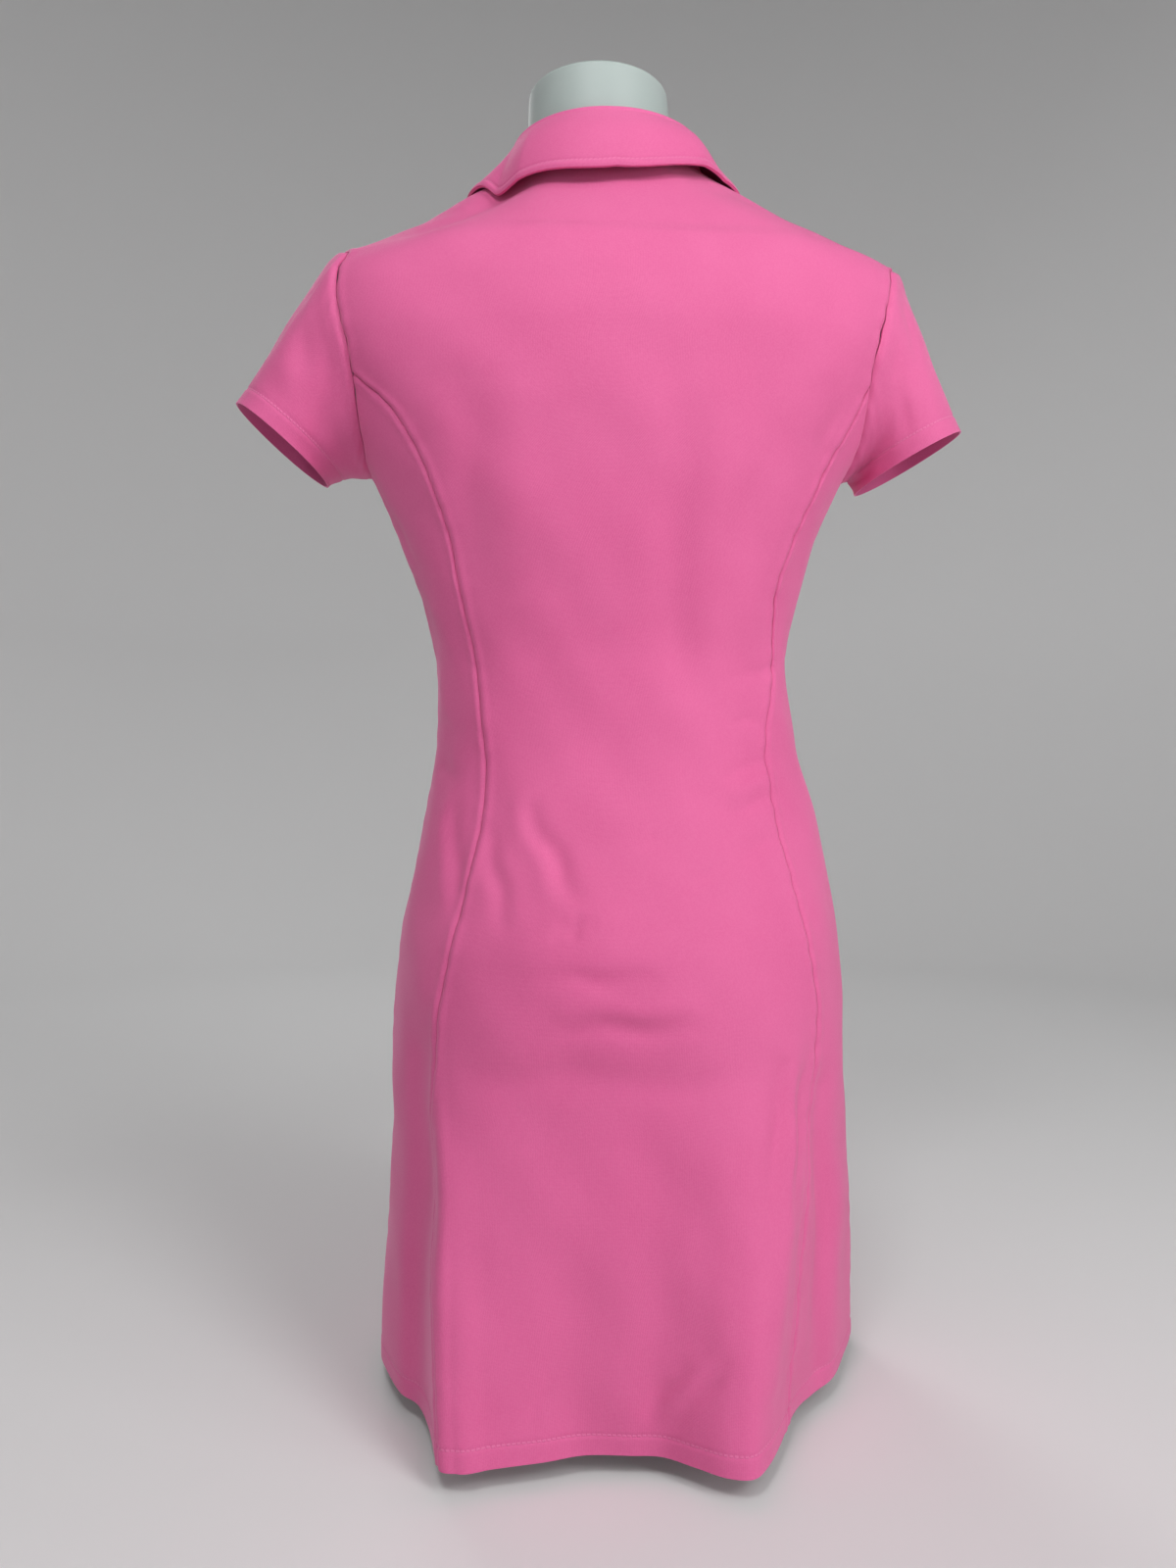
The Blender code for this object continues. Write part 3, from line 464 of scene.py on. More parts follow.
# ---- the lie of the cloth
CREASES = (
    # angle and height where each starts and ends, its width and reach
    # soft drapes under the shoulder blades
    (60.3, 0.660, 50.3, 0.563, 0.0110, -0.0019),
    (70.0, 0.650, 62.0, 0.560, 0.0120, 0.0013),
    (100.3, 0.675, 109.0, 0.475, 0.0120, -0.0022),
    (109.0, 0.660, 118.0, 0.500, 0.0120, 0.0017),
    (118.7, 0.659, 127.7, 0.564, 0.0100, -0.0017),
    (135.3, 0.666, 143.0, 0.619, 0.0080, -0.0017),
    # the small of the back, on the left
    (61.7, 0.394, 75.0, 0.344, 0.0065, -0.0038),
    (58.5, 0.398, 72.0, 0.341, 0.0080, 0.0019),
    (51.0, 0.375, 58.7, 0.327, 0.0060, -0.0026),
    (33.7, 0.392, 44.3, 0.331, 0.0060, -0.0023),
    (28.0, 0.398, 38.0, 0.340, 0.0070, 0.0017),
    (72.5, 0.321, 78.5, 0.327, 0.0050, -0.0023),
    # across the seat
    (70.7, 0.294, 92.0, 0.294, 0.0060, -0.0022),
    (74.7, 0.2765, 100.7, 0.2765, 0.0070, 0.0022),
    (74.7, 0.2640, 102.7, 0.2640, 0.0060, -0.0019),
    (50.3, 0.2343, 114.7, 0.2308, 0.0110, -0.0017),
    # waist creases that run out from the right seam
    (99.7, 0.348, 121.0, 0.3654, 0.0040, -0.0014),
    (92.0, 0.3736, 97.3, 0.3783, 0.0035, -0.0011),
    (118.3, 0.418, 136.0, 0.4286, 0.0042, -0.0017),
    (117.3, 0.3935, 136.0, 0.4040, 0.0042, -0.0018),
    (119.0, 0.406, 136.0, 0.4165, 0.0042, 0.0013),
    (116.7, 0.3666, 135.0, 0.3795, 0.0042, -0.0017),
    (124.0, 0.452, 140.0, 0.4560, 0.0045, -0.0014),
    (128.0, 0.484, 144.0, 0.4880, 0.0045, -0.0013),
    # by the hem
    (88.7, 0.0413, 99.3, 0.0670, 0.0045, -0.0017),
    (96.7, 0.0366, 108.7, 0.0729, 0.0045, -0.0018),
    (92.5, 0.0400, 103.5, 0.0700, 0.0045, 0.0013),
    (60.0, 0.0350, 66.0, 0.0600, 0.0045, -0.0010),
    # small folds on the flank of the right skirt fold
    (133.7, 0.226, 128.0, 0.150, 0.0060, -0.0029),
    (126.3, 0.2355, 122.5, 0.170, 0.0065, -0.0026),
    (130.0, 0.230, 125.0, 0.140, 0.0065, 0.0023),
    # the deep folds that hang at the back's seams
    (144.0, 0.215, 149.0, 0.0300, 0.0125, -0.0076),
    (130.5, 0.240, 122.7, 0.0600, 0.0120, 0.0044),
    (33.2, 0.235, 31.0, 0.0300, 0.0110, -0.0042),
    (40.5, 0.235, 41.5, 0.0500, 0.0090, 0.0022),
    # hidden sides: underarms, bust, waist and skirt of the front
    (8.0, 0.610, 20.0, 0.560, 0.0070, -0.0016),
    (176.0, 0.610, 164.0, 0.560, 0.0070, -0.0016),
    (345.0, 0.600, 322.0, 0.615, 0.0080, -0.0019),
    (195.0, 0.600, 218.0, 0.615, 0.0080, -0.0019),
    (340.0, 0.575, 318.0, 0.600, 0.0080, 0.0014),
    (200.0, 0.575, 222.0, 0.600, 0.0080, 0.0014),
    (352.0, 0.470, 325.0, 0.455, 0.0055, -0.0015),
    (350.0, 0.445, 322.0, 0.436, 0.0055, -0.0015),
    (189.0, 0.470, 214.0, 0.456, 0.0055, -0.0015),
    (190.0, 0.440, 218.0, 0.432, 0.0055, -0.0014),
    (10.0, 0.455, 32.0, 0.445, 0.0050, -0.0012),
    (12.0, 0.425, 34.0, 0.418, 0.0050, -0.0012),
    (300.0, 0.400, 280.0, 0.375, 0.0080, -0.0016),
    (240.0, 0.395, 258.0, 0.372, 0.0080, -0.0016),
    (316.0, 0.240, 228.0, 0.240, 0.0110, -0.0012),
    (296.0, 0.230, 293.0, 0.060, 0.0120, 0.0016),
    (246.0, 0.230, 248.0, 0.060, 0.0120, 0.0016),
    (284.0, 0.560, 262.0, 0.560, 0.0100, -0.0014),
)
UNEVEN = (
    # waves round the body and up it, their phase and reach: the cloth never lies quite smooth
    (7.0, 31.0, 0.4, 0.00050),
    (11.0, -47.0, 1.9, 0.00040),
    (5.0, 73.0, 3.1, 0.00035),
    (17.0, 88.0, 5.0, 0.00022),
)


def relief(angle, height):
    """How far creases move the cloth along the body's normal."""
    lift = np.zeros(np.broadcast(angle, height).shape)
    for angle_a, height_a, angle_b, height_b, width, reach in CREASES:
        level = (height_a + height_b) / 2
        degree = math.pi / 360 * float(body("half_width", level) + body("back", level))
        start = np.array([0.0, height_a])
        end = np.array([apart(angle_b, angle_a) * degree, height_b])
        x = apart(angle, angle_a) * degree
        along = end - start
        share = (x * along[0] + (height - height_a) * along[1]) / (along @ along)
        held = np.clip(share, 0, 1)
        bend = 0.25 * width * np.sin(9.0 * share + 31.0 * height_a)
        off_x = x - held * along[0] - bend * along[1] / np.linalg.norm(along)
        off_y = height - height_a - held * along[1] + bend * along[0] / np.linalg.norm(along)
        fade = 0.35 + 0.65 * np.sin(math.pi * (0.1 + 0.8 * held)) ** 1.5
        lift = lift + reach * fade * np.exp(-(off_x**2 + off_y**2) / width**2)
    turn = np.radians(angle)
    for round_waves, up_waves, phase, reach in UNEVEN:
        lift = lift + reach * np.sin(round_waves * turn + up_waves * height + phase)
    return lift


def seam_roll(off, run, pucker):
    """The dip of a seam and the rounded rise beside it, at some distance off it."""
    dip = -0.0008 * np.exp(-((off / 0.0014) ** 2))
    rise = 0.0006 * np.exp(-(((off - 0.0042) / 0.0028) ** 2))
    wave = np.sin(run * 210.0) * np.sin(run * 83.0 + 1.3) + 0.5 * np.sin(run * 420.0 + 0.7)
    return dip + rise + pucker * wave * np.exp(-((off / 0.009) ** 2))


HEM_DEPTH = 0.012


def hem_roll(off):
    """The doubled hem, and the dip of its stitched line."""
    band = 0.0003 / (1 + np.exp(np.clip((off - HEM_DEPTH) / 0.0006, -30, 30)))
    return band - 0.0006 * np.exp(-(((off - HEM_DEPTH) / 0.0011) ** 2))


# ---- meshes
def shell(name, outer, inner, keep=None, closed=False, values=None):
    """One closed mesh between two grids of points, with values by the point."""
    rows, cols = outer.shape[:2]
    across = cols if closed else cols - 1
    keep = np.ones((rows - 1, across), bool) if keep is None else keep
    r, c = np.nonzero(keep)
    count = rows * cols

    def at(rr, cc, layer):
        return layer * count + rr * cols + cc % cols

    quads = np.stack([at(r, c, 0), at(r, c + 1, 0), at(r + 1, c + 1, 0), at(r + 1, c, 0)], axis=-1)
    back = quads[:, ::-1] + count
    sides = []
    padded = np.zeros((rows + 1, across + 2), bool)
    padded[1:-1, 1:-1] = keep
    if closed:
        padded[:, 0], padded[:, -1] = padded[:, -2], padded[:, 1]
    for step_r, step_c, a, b in ((-1, 0, (0, 0), (0, 1)), (0, 1, (0, 1), (1, 1)), (1, 0, (1, 1), (1, 0)),
                                 (0, -1, (1, 0), (0, 0))):
        bare = keep & ~padded[1 + step_r:rows + step_r, 1 + step_c:across + 1 + step_c]
        br, bc = np.nonzero(bare)
        sides.append(np.stack([at(br + b[0], bc + b[1], 0), at(br + a[0], bc + a[1], 0),
                               at(br + a[0], bc + a[1], 1), at(br + b[0], bc + b[1], 1)], axis=-1))
    faces = np.concatenate([quads, back, *sides])
    points = np.concatenate([outer.reshape(-1, 3), inner.reshape(-1, 3)])
    used = np.unique(faces)
    number = np.full(len(points), -1)
    number[used] = np.arange(len(used))
    mesh = mesh_of(name, points[used], number[faces])
    for key, value in (values or {}).items():
        both = np.concatenate([value.ravel(), value.ravel()])[used]
        mesh.attributes.new(key, "FLOAT", "POINT").data.foreach_set("value", both.astype(np.float32))
    return add_object(name, mesh)


def mesh_of(name, points, faces):
    mesh = bpy.data.meshes.new(name)
    mesh.from_pydata(points.tolist(), [], [list(map(int, f)) for f in faces])
    mesh.validate()
    return mesh


def new_object(name, data):
    obj = bpy.data.objects.new(name, data)
    bpy.context.scene.collection.objects.link(obj)
    return obj


def add_object(name, mesh, sharp=50.0):
    """A mesh as an object, its faces turned outward and its edges sharp past an angle."""
    co = np.empty(len(mesh.vertices) * 3)
    mesh.vertices.foreach_get("co", co)
    co = co.reshape(-1, 3)
    mesh.calc_loop_triangles()
    tri = np.empty(len(mesh.loop_triangles) * 3, int)
    mesh.loop_triangles.foreach_get("vertices", tri)
    a, b, c = co[tri.reshape(-1, 3)].transpose(1, 0, 2)
    if (a * np.cross(b, c)).sum() < 0:
        mesh.flip_normals()
    mesh.polygons.foreach_set("use_smooth", [True] * len(mesh.polygons))
    mesh.set_sharp_from_angle(angle=math.radians(sharp))
    return new_object(name, mesh)


def dress(obj, material, node):
    obj.data.materials.clear()
    obj.data.materials.append(material)
    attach(obj, "root")
    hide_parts(*([node] if isinstance(node, str) else node))
    return obj


# ---- materials
def new_material(name, inputs):
    """A material, its node tree and its shader with these constants on its own sockets."""
    material = bpy.data.materials.new(name)
    material.use_nodes = True
    shader = material.node_tree.nodes["Principled BSDF"]
    for key, value in inputs.items():
        shader.inputs[key].default_value = value
    return material, material.node_tree, shader


def add_bump(tree, shader, height, strength):
    bump = node_of(tree, "ShaderNodeBump", Strength=strength, Distance=1.0)
    tree.links.new(height, bump.inputs["Height"])
    tree.links.new(bump.outputs["Normal"], shader.inputs["Normal"])


def noise(tree, **values):
    """A noise texture in the object's own coordinates."""
    node = node_of(tree, "ShaderNodeTexNoise", **values)
    tree.links.new(tree.nodes.new("ShaderNodeTexCoord").outputs["Object"], node.inputs["Vector"])
    return node.outputs["Fac"]


def node_of(tree, kind, **values):
    node = tree.nodes.new(kind)
    for key, value in values.items():
        if key in node.inputs:
            node.inputs[key].default_value = value
        else:
            setattr(node, key, value)
    return node


def math_node(tree, operation, a, b=None):
    node = tree.nodes.new("ShaderNodeMath")
    node.operation = operation
    for socket, value in zip(node.inputs, (a, b)):
        if value is None:
            continue
        if isinstance(value, (int, float)):
            socket.default_value = value
        else:
            tree.links.new(value, socket)
    return node.outputs[0]


def attribute(tree, name):
    node = tree.nodes.new("ShaderNodeAttribute")
    node.attribute_name = name
    return node.outputs["Fac"]


def ramp(tree, value, low, high, start=0.0, end=1.0):
    node = tree.nodes.new("ShaderNodeMapRange")
    node.interpolation_type = "SMOOTHSTEP"
    tree.links.new(value, node.inputs["Value"])
    for key, number in (("From Min", low), ("From Max", high), ("To Min", start), ("To Max", end)):
        node.inputs[key].default_value = number
    return node.outputs["Result"]


def mix_color(tree, share, first, second):
    node = tree.nodes.new("ShaderNodeMix")
    node.data_type = "RGBA"
    if isinstance(share, float):
        node.inputs[0].default_value = share
    else:
        tree.links.new(share, node.inputs[0])
    for socket, value in ((node.inputs[6], first), (node.inputs[7], second)):
        if isinstance(value, tuple):
            socket.default_value = (*value, 1.0)
        else:
            tree.links.new(value, socket)
    return node.outputs[2]


def knit_material():
    """Fine smooth knit: wales and courses, stitched lines, a soft sheen."""
    material, tree, shader = new_material("knit", {
        "Roughness": 0.62, "Specular IOR Level": 0.30,
        "Sheen Weight": 0.30, "Sheen Roughness": 0.40, "Sheen Tint": (1.0, 0.62, 0.80, 1.0),
    })

    def times(a, b):
        return math_node(tree, "MULTIPLY", a, b)

    place = tree.nodes.new("ShaderNodeCombineXYZ")
    tree.links.new(attribute(tree, "run"), place.inputs[0])
    tree.links.new(attribute(tree, "up"), place.inputs[1])
    broad = noise(tree, Scale=9.0, Detail=3.0, Roughness=0.55)
    fuzz = noise(tree, Scale=900.0, Detail=2.0, Roughness=0.6)
    wales = node_of(tree, "ShaderNodeTexWave", Scale=310.0, Distortion=1.2)
    wales.bands_direction = "X"
    wales.inputs["Detail"].default_value = 1.0
    tree.links.new(place.outputs[0], wales.inputs["Vector"])
    courses = node_of(tree, "ShaderNodeTexWave", Scale=420.0, Distortion=0.8)
    courses.bands_direction = "Y"
    tree.links.new(place.outputs[0], courses.inputs["Vector"])
    shade = ramp(tree, broad, 0.30, 0.70)
    colour = mix_color(tree, shade, PINK_DEEP, PINK_LIGHT)
    grain = ramp(tree, fuzz, 0.35, 0.65, 0.0, 0.16)
    colour = mix_color(tree, grain, colour, PINK_GRAIN)
    off = math_node(tree, "ABSOLUTE", attribute(tree, "stitch"))
    line = ramp(tree, off, 0.00025, 0.00085, 1.0, 0.0)
    beat = math_node(tree, "SINE", times(attribute(tree, "run"), 2 * math.pi / STITCH_LENGTH))
    dash = ramp(tree, beat, -0.75, -0.35)
    thread = times(line, dash)
    colour = mix_color(tree, times(thread, 0.45), colour, PINK_THREAD)
    tree.links.new(colour, shader.inputs["Base Color"])
    loops = times(wales.outputs["Fac"], courses.outputs["Fac"])
    micro = math_node(tree, "ADD", times(loops, 0.00010), times(fuzz, 0.00012))
    high = math_node(tree, "ADD", micro, times(thread, 0.00030))
    add_bump(tree, shader, high, 0.8)
    return material


def plain_material(name, low, high, roughness, scale, bumps, **inputs):
    """A surface with slight clouds of colour and a fine grain."""
    constants = {key.replace("_", " "): value for key, value in inputs.items()}
    material, tree, shader = new_material(name, {"Roughness": roughness, **constants})
    cloud = ramp(tree, noise(tree, Scale=scale, Detail=4.0, Roughness=0.6), 0.3, 0.7)
    tree.links.new(mix_color(tree, cloud, low, high), shader.inputs["Base Color"])
    grain = noise(tree, Scale=700.0, Detail=3.0, Roughness=0.6)
    add_bump(tree, shader, math_node(tree, "MULTIPLY", grain, bumps), 0.6)
    return material


STITCH_LENGTH = 0.0030
PINK_DEEP = (0.715, 0.112, 0.305)
PINK_LIGHT = (0.760, 0.130, 0.335)
PINK_GRAIN = (0.840, 0.220, 0.440)
PINK_THREAD = (0.860, 0.240, 0.470)
KNIT = knit_material()
FORM = plain_material("form_cover", (0.37, 0.435, 0.415), (0.41, 0.475, 0.455), 0.55, 6.0, 0.00006)
STEEL = plain_material("stand_metal", (0.56, 0.58, 0.58), (0.63, 0.65, 0.65), 0.38, 14.0, 0.00003,
                       Metallic=0.6)
BUTTON = plain_material("button_pink", (0.74, 0.17, 0.34), (0.82, 0.24, 0.43), 0.28, 60.0, 0.00002,
                        Coat_Weight=0.3)
THREAD = plain_material("button_thread", (0.72, 0.12, 0.30), (0.80, 0.20, 0.40), 0.70, 300.0, 0.00010)


# ---- panels
HEM_ROWS = np.linspace(0.0, 0.016, 17)
LOW_ROWS = 205
BACK_TURNS = np.linspace(PRINCESS_TURN, 0.0, 60)
UNDER_TURNS = 180.0 - (180.0 - PRINCESS_TURN) * crowd(30, True, True)
FRONT_TURNS = np.linspace(180.0, 360.0, 84)
SHOULDER_ROWS = 34
PLACKET_TURN = 180.0 - math.degrees(math.asin(PLACKET_WIDTH / 2 / COLLAR[-1][1]))


def seam_heights(top):
    """Rows up a seam, close together in the hem."""
    hem = HEM_HEIGHT + HEM_ROWS
    return np.concatenate([hem, np.linspace(hem[-1], top, LOW_ROWS + 1)[1:]])


def princess_seam(side):
    top = armhole(side, [PRINCESS_TURN])[0]
    heights = seam_heights(top[1])
    k = PRINCESS_COLUMNS.index(side)
    rows = [row[0] for row in PRINCESS] + [top[1]]
    angles = [row[k] for row in PRINCESS] + [top[0]]
    return np.stack([smooth(heights, rows, angles), heights], axis=-1)


def side_seam(side):
    return mirror([(0.0, h) for h in seam_heights(UNDERARM)], side)


def make_panel(name, grid, seams, hem=True, keep=None, lift=0.0, wall=LOOK_CLOTH, stitch=None, pucker=None):
    """A panel of cloth from its grid of (angle, height)."""
    angle, height = grid[..., 0], grid[..., 1]
    points = body_point(angle, height)
    normal = body_normal(angle, height)
    across, up = steps(points, 1), steps(points, 0)
    off = {"left": across, "right": across[:, -1:] - across, "bottom": up, "top": up[-1:] - up}
    run = {"left": up, "right": up, "bottom": across, "top": across}
    half = SEAM_GAP / 2
    for edge, row, beside in (("left", points[:, 0], points[:, 1]), ("right", points[:, -1], points[:, -2]),
                              ("bottom", points[0], points[1]), ("top", points[-1], points[-2])):
        if edge in seams:
            row += half * inward(row, beside)
    rise = relief(angle, height) + lift
    for edge in seams:
        rise = rise + seam_roll(off[edge], run[edge], (pucker or {}).get(edge, 0.00025))
    if hem:
        rise = rise + hem_roll(up)
    line = up - HEM_DEPTH if stitch is None else stitch(off)
    outer = points + rise[..., None] * normal
    values = {"run": across, "up": up, "stitch": line}
    return shell(name, outer, outer - wall * normal, keep, values=values)


def panel_edges(turns):
    """The long edges of a panel that reaches the shoulders, and how it climbs there."""
    edges = {}
    for side in ("left", "right"):
        seam = princess_seam(side) if turns is BACK_TURNS else side_seam(side)
        edges[side] = np.concatenate([seam, armhole(side, turns)[1:], shoulder_seam(side, SHOULDER_ROWS)[1:]])
    return edges


def make_back():
    edges = panel_edges(BACK_TURNS)
    parts = [(0.0, 90.0, crowd(52, True, False)), (90.0, 180.0, crowd(52, False, True))]
    grid = side_by_side(edges["left"], edges["right"], parts)
    obj = make_panel("back_center_cloth", grid, ("left", "right"), pucker={"right": 0.00055, "left": 0.00035})
    dress(obj, KNIT, "back_center")
    for side in ("left", "right"):
        front, back = side_seam(side), princess_seam(side)
        top = armhole(side, UNDER_TURNS)
        u = crowd(30, True, True)
        bottom = front[0] + (back[0] - front[0]) * u[:, None]
        grid = fill(front, back, bottom, top, u)
        pucker = {"right": 0.00055 if side == "right" else 0.00030}
        obj = make_panel("back_side_" + side + "_cloth", grid, ("left", "right", "top"), pucker=pucker)
        dress(obj, KNIT, "back_side_" + side)


def make_front():
    edges = panel_edges(FRONT_TURNS)
    edges["left"][:, 0] += 360.0
    turn = PLACKET_TURN
    parts = [
        (180.0, 90.0 + turn, crowd(54, True, False)),
        (90.0 + turn, 450.0 - turn, np.linspace(0, 1, 13)),
        (450.0 - turn, 360.0, crowd(54, False, True)),
    ]
    grid = side_by_side(edges["right"], edges["left"], parts)
    first, last = 53, 65
    low = int(np.argmin(np.abs(grid[:, first, 1] - PLACKET_END)))
    keep = np.ones((grid.shape[0] - 1, grid.shape[1] - 1), bool)
    keep[low:, first:last] = False
    obj = make_panel("front_cloth", grid, ("left", "right"), keep=keep)
    dress(obj, KNIT, "front")
    strip = grid[low:, first:last + 1]
    fine = np.linspace(0, strip.shape[1] - 1, 31)
    k = np.minimum(fine.astype(int), strip.shape[1] - 2)
    strip = strip[:, k] + (strip[:, k + 1] - strip[:, k]) * (fine - k)[None, :, None]

    def placket_line(off):
        near = np.minimum(np.minimum(off["left"], off["right"]), off["bottom"])
        return near - PLACKET_STITCH

    obj = make_panel("placket_cloth", strip, ("left", "right", "bottom"), hem=False, lift=0.0009, wall=0.0020,
                     stitch=placket_line)
    dress(obj, KNIT, "placket")


# ---- sleeves
SLEEVE_CREASES = {
    # where round the armhole and how far down they start and end, their width and reach
    "left": (
        (-30.0, 0.34, 50.0, 0.36, 0.0150, -0.0014),
        (28.0, 0.10, 52.0, 0.42, 0.0075, -0.0016),
        (60.0, 0.60, 95.0, 0.66, 0.0080, 0.0012),
        (100.0, 0.30, 140.0, 0.85, 0.0085, -0.0014),
        (62.0, 0.40, 90.0, 0.46, 0.0070, -0.0010),
        (300.0, 0.15, 270.0, 0.60, 0.0085, -0.0014),
        (240.0, 0.30, 215.0, 0.85, 0.0080, -0.0012),
    ),
    "right": (
        (-30.0, 0.30, 50.0, 0.32, 0.0150, -0.0010),
        (40.0, 0.15, 70.0, 0.55, 0.0085, -0.0014),
        (85.0, 0.25, 110.0, 0.80, 0.0085, -0.0014),
        (60.0, 0.50, 85.0, 0.90, 0.0080, 0.0010),
        (300.0, 0.15, 265.0, 0.60, 0.0085, -0.0014),
        (235.0, 0.30, 210.0, 0.85, 0.0080, -0.0012),
    ),
}


def sleeve_surface(side, turns, shares):
    """Points and outward normals of a sleeve from its armhole to its cuff."""
    cuff_x, cuff_y, cuff_z, slope, across, deep, reach_top, reach_under = SLEEVES[side]
    seam = armhole(side, turns)
    start = body_point(seam[:, 0], seam[:, 1])
    skin = body_normal(seam[:, 0], seam[:, 1])
    out = 1.0 if side == "left" else -1.0
    tilt = math.radians(slope)
    axis = np.array([out * math.cos(tilt), 0.0, -math.sin(tilt)])
    upper = np.array([out * math.sin(tilt), 0.0, math.cos(tilt)])
    turn = np.radians(turns)[:, None]
    cuff = np.array([cuff_x, cuff_y, cuff_z]) + across * np.cos(turn) * upper
    cuff = cuff + deep * np.sin(turn) * np.array([0.0, 1.0, 0.0])
    is_top = (1 + np.cos(turn)) / 2
    first_slope = np.radians(28.0 * is_top + 20.0 * (1 - is_top))
    leave = np.concatenate([out * np.cos(first_slope), 0 * turn, -np.sin(first_slope)], axis=1)
    onward = np.cross(np.roll(start, -1, axis=0) - np.roll(start, 1, axis=0), skin)
    onward *= np.sign(onward[:, :1]) * out / np.linalg.norm(onward, axis=-1, keepdims=True)
    leave = (leave + SKIN_SHARE * onward) / (1 + SKIN_SHARE)
    ahead = start + (reach_top * is_top + reach_under * (1 - is_top)) * leave
    before = cuff - (0.035 * is_top + 0.006 * (1 - is_top)) * axis
    t = shares[:, None, None]
    points = (1 - t) ** 3 * start + 3 * (1 - t) ** 2 * t * ahead + 3 * (1 - t) * t**2 * before + t**3 * cuff
    around = np.roll(points, -1, axis=1) - np.roll(points, 1, axis=1)
    along = np.gradient(points, axis=0)
    normal = unit(np.cross(along, around) * out)
    normal[0] = unit(normal[0] + skin)
    points[0] += unit(points[1] - points[0]) * SLEEVE_GAP
    return points, normal


def make_sleeve(side):
    turns = np.linspace(0, 360, 145)[:-1]
    shares = np.concatenate([[0.0, 0.01, 0.022, 0.036, 0.052], np.linspace(0.07, 0.86, 34),
                             np.linspace(0.87, 1.0, 16)])
    points, normal = sleeve_surface(side, turns, shares)
    down = steps(points, 0)
    to_cuff = down[-1:] - down
    ring = steps(np.concatenate([points, points[:, :1]], axis=1), 1)[:, :-1]
    crown = 0.0012 * np.exp(-((down - 0.008) / 0.007) ** 2)
    rise = seam_roll(down, ring, 0.00045) + hem_roll(to_cuff) + crown
    share = shares[:, None]
    for turn_a, share_a, turn_b, share_b, width, reach in SLEEVE_CREASES[side]:
        middle = points[np.argmin(np.abs(shares - (share_a + share_b) / 2))]
        length = float(down[-1].mean())
        degree = float(np.linalg.norm(np.diff(middle, axis=0), axis=-1).sum()) / 360
        along = np.array([apart(turn_b, turn_a) * degree, (share_b - share_a) * length])
        x = apart(turns, turn_a)[None, :] * degree
        y = (share - share_a) * length
        held = np.clip((x * along[0] + y * along[1]) / (along @ along), 0, 1)
        gap = (x - held * along[0]) ** 2 + (y - held * along[1]) ** 2
        rise = rise + reach * np.sin(math.pi * (0.1 + 0.8 * held)) * np.exp(-gap / width**2)
    rise = rise + 0.0004 * np.sin(np.radians(turns) * 5 + 9.0 * share) * np.sin(share * 7.0)
    outer = points + rise[..., None] * normal
    values = {"run": ring, "up": down, "stitch": to_cuff - HEM_DEPTH}
    obj = shell("sleeve_" + side + "_cloth", outer, outer - LOOK_CLOTH * normal, closed=True, values=values)
    dress(obj, KNIT, "sleeve_" + side)


# ---- collar
SEATED = (46.0, 150.0)  # turns between which the collar's edge lies close on the shoulder
SEATED_LIFT = 0.0027
FREE_LIFT = 0.0012  # how much further off the back the edge stands than the solid's
COLLAR_STITCH = 0.0050  # from the collar's edge to its stitched line


def collar_profile(turn, side, stand, arc, fall):
    """The middle of the collar's cloth at one turn from centre back: up the stand, over and down."""
    sign = 1.0 if side == "left" else -1.0
    row = {name: float(column(COLLAR, COLLAR_COLUMNS, name, turn)) for name in COLLAR_COLUMNS[1:]}
    bearing = 90.0 - sign * turn
    angle, height = spot(bearing, row["neck"])
    seam = body_point(angle, height)
    climb = unit(body_point(angle, height + 0.002) - seam)
    base = seam - CLOTH / 2 * body_normal(angle, height) + (NECK_GAP + COLLAR_CLOTH / 2) * climb
    out = np.array([math.cos(math.radians(bearing)), math.sin(math.radians(bearing)), 0.0])
    fold = np.array([*COLLAR_CENTRE, row["fold"] - FOLD_RADIUS]) + row["fold_reach"] * out
    angle, height = spot(90.0 - sign * row["edge_turn"], row["edge"])
    start, end = SEATED
    low = float(np.clip((turn - start) / 18.0, 0.0, 1.0) * np.clip((end - turn) / 20.0, 0.0, 1.0))
    off = (1 - low) * (row["lift"] + FREE_LIFT) + low * SEATED_LIFT
    edge = body_point(angle, height) + off * body_normal(angle, height)
    up = np.array([0.0, 0.0, 1.0])
    points = [base + t * (fold - FOLD_RADIUS * out - base) for t in stand]
    for swing in arc:
        turned_out, turned_up = math.cos(math.radians(swing)), math.sin(math.radians(swing))
        points.append(fold + FOLD_RADIUS * (turned_out * out + turned_up * up))
    last = points[-1]
    for share in fall:
        swell = 0.0030 * (1 - 0.9 * low) * math.sin(math.pi * share)
        points.append(last + share * (edge - last) + swell * (up + out))
    return np.array(points)


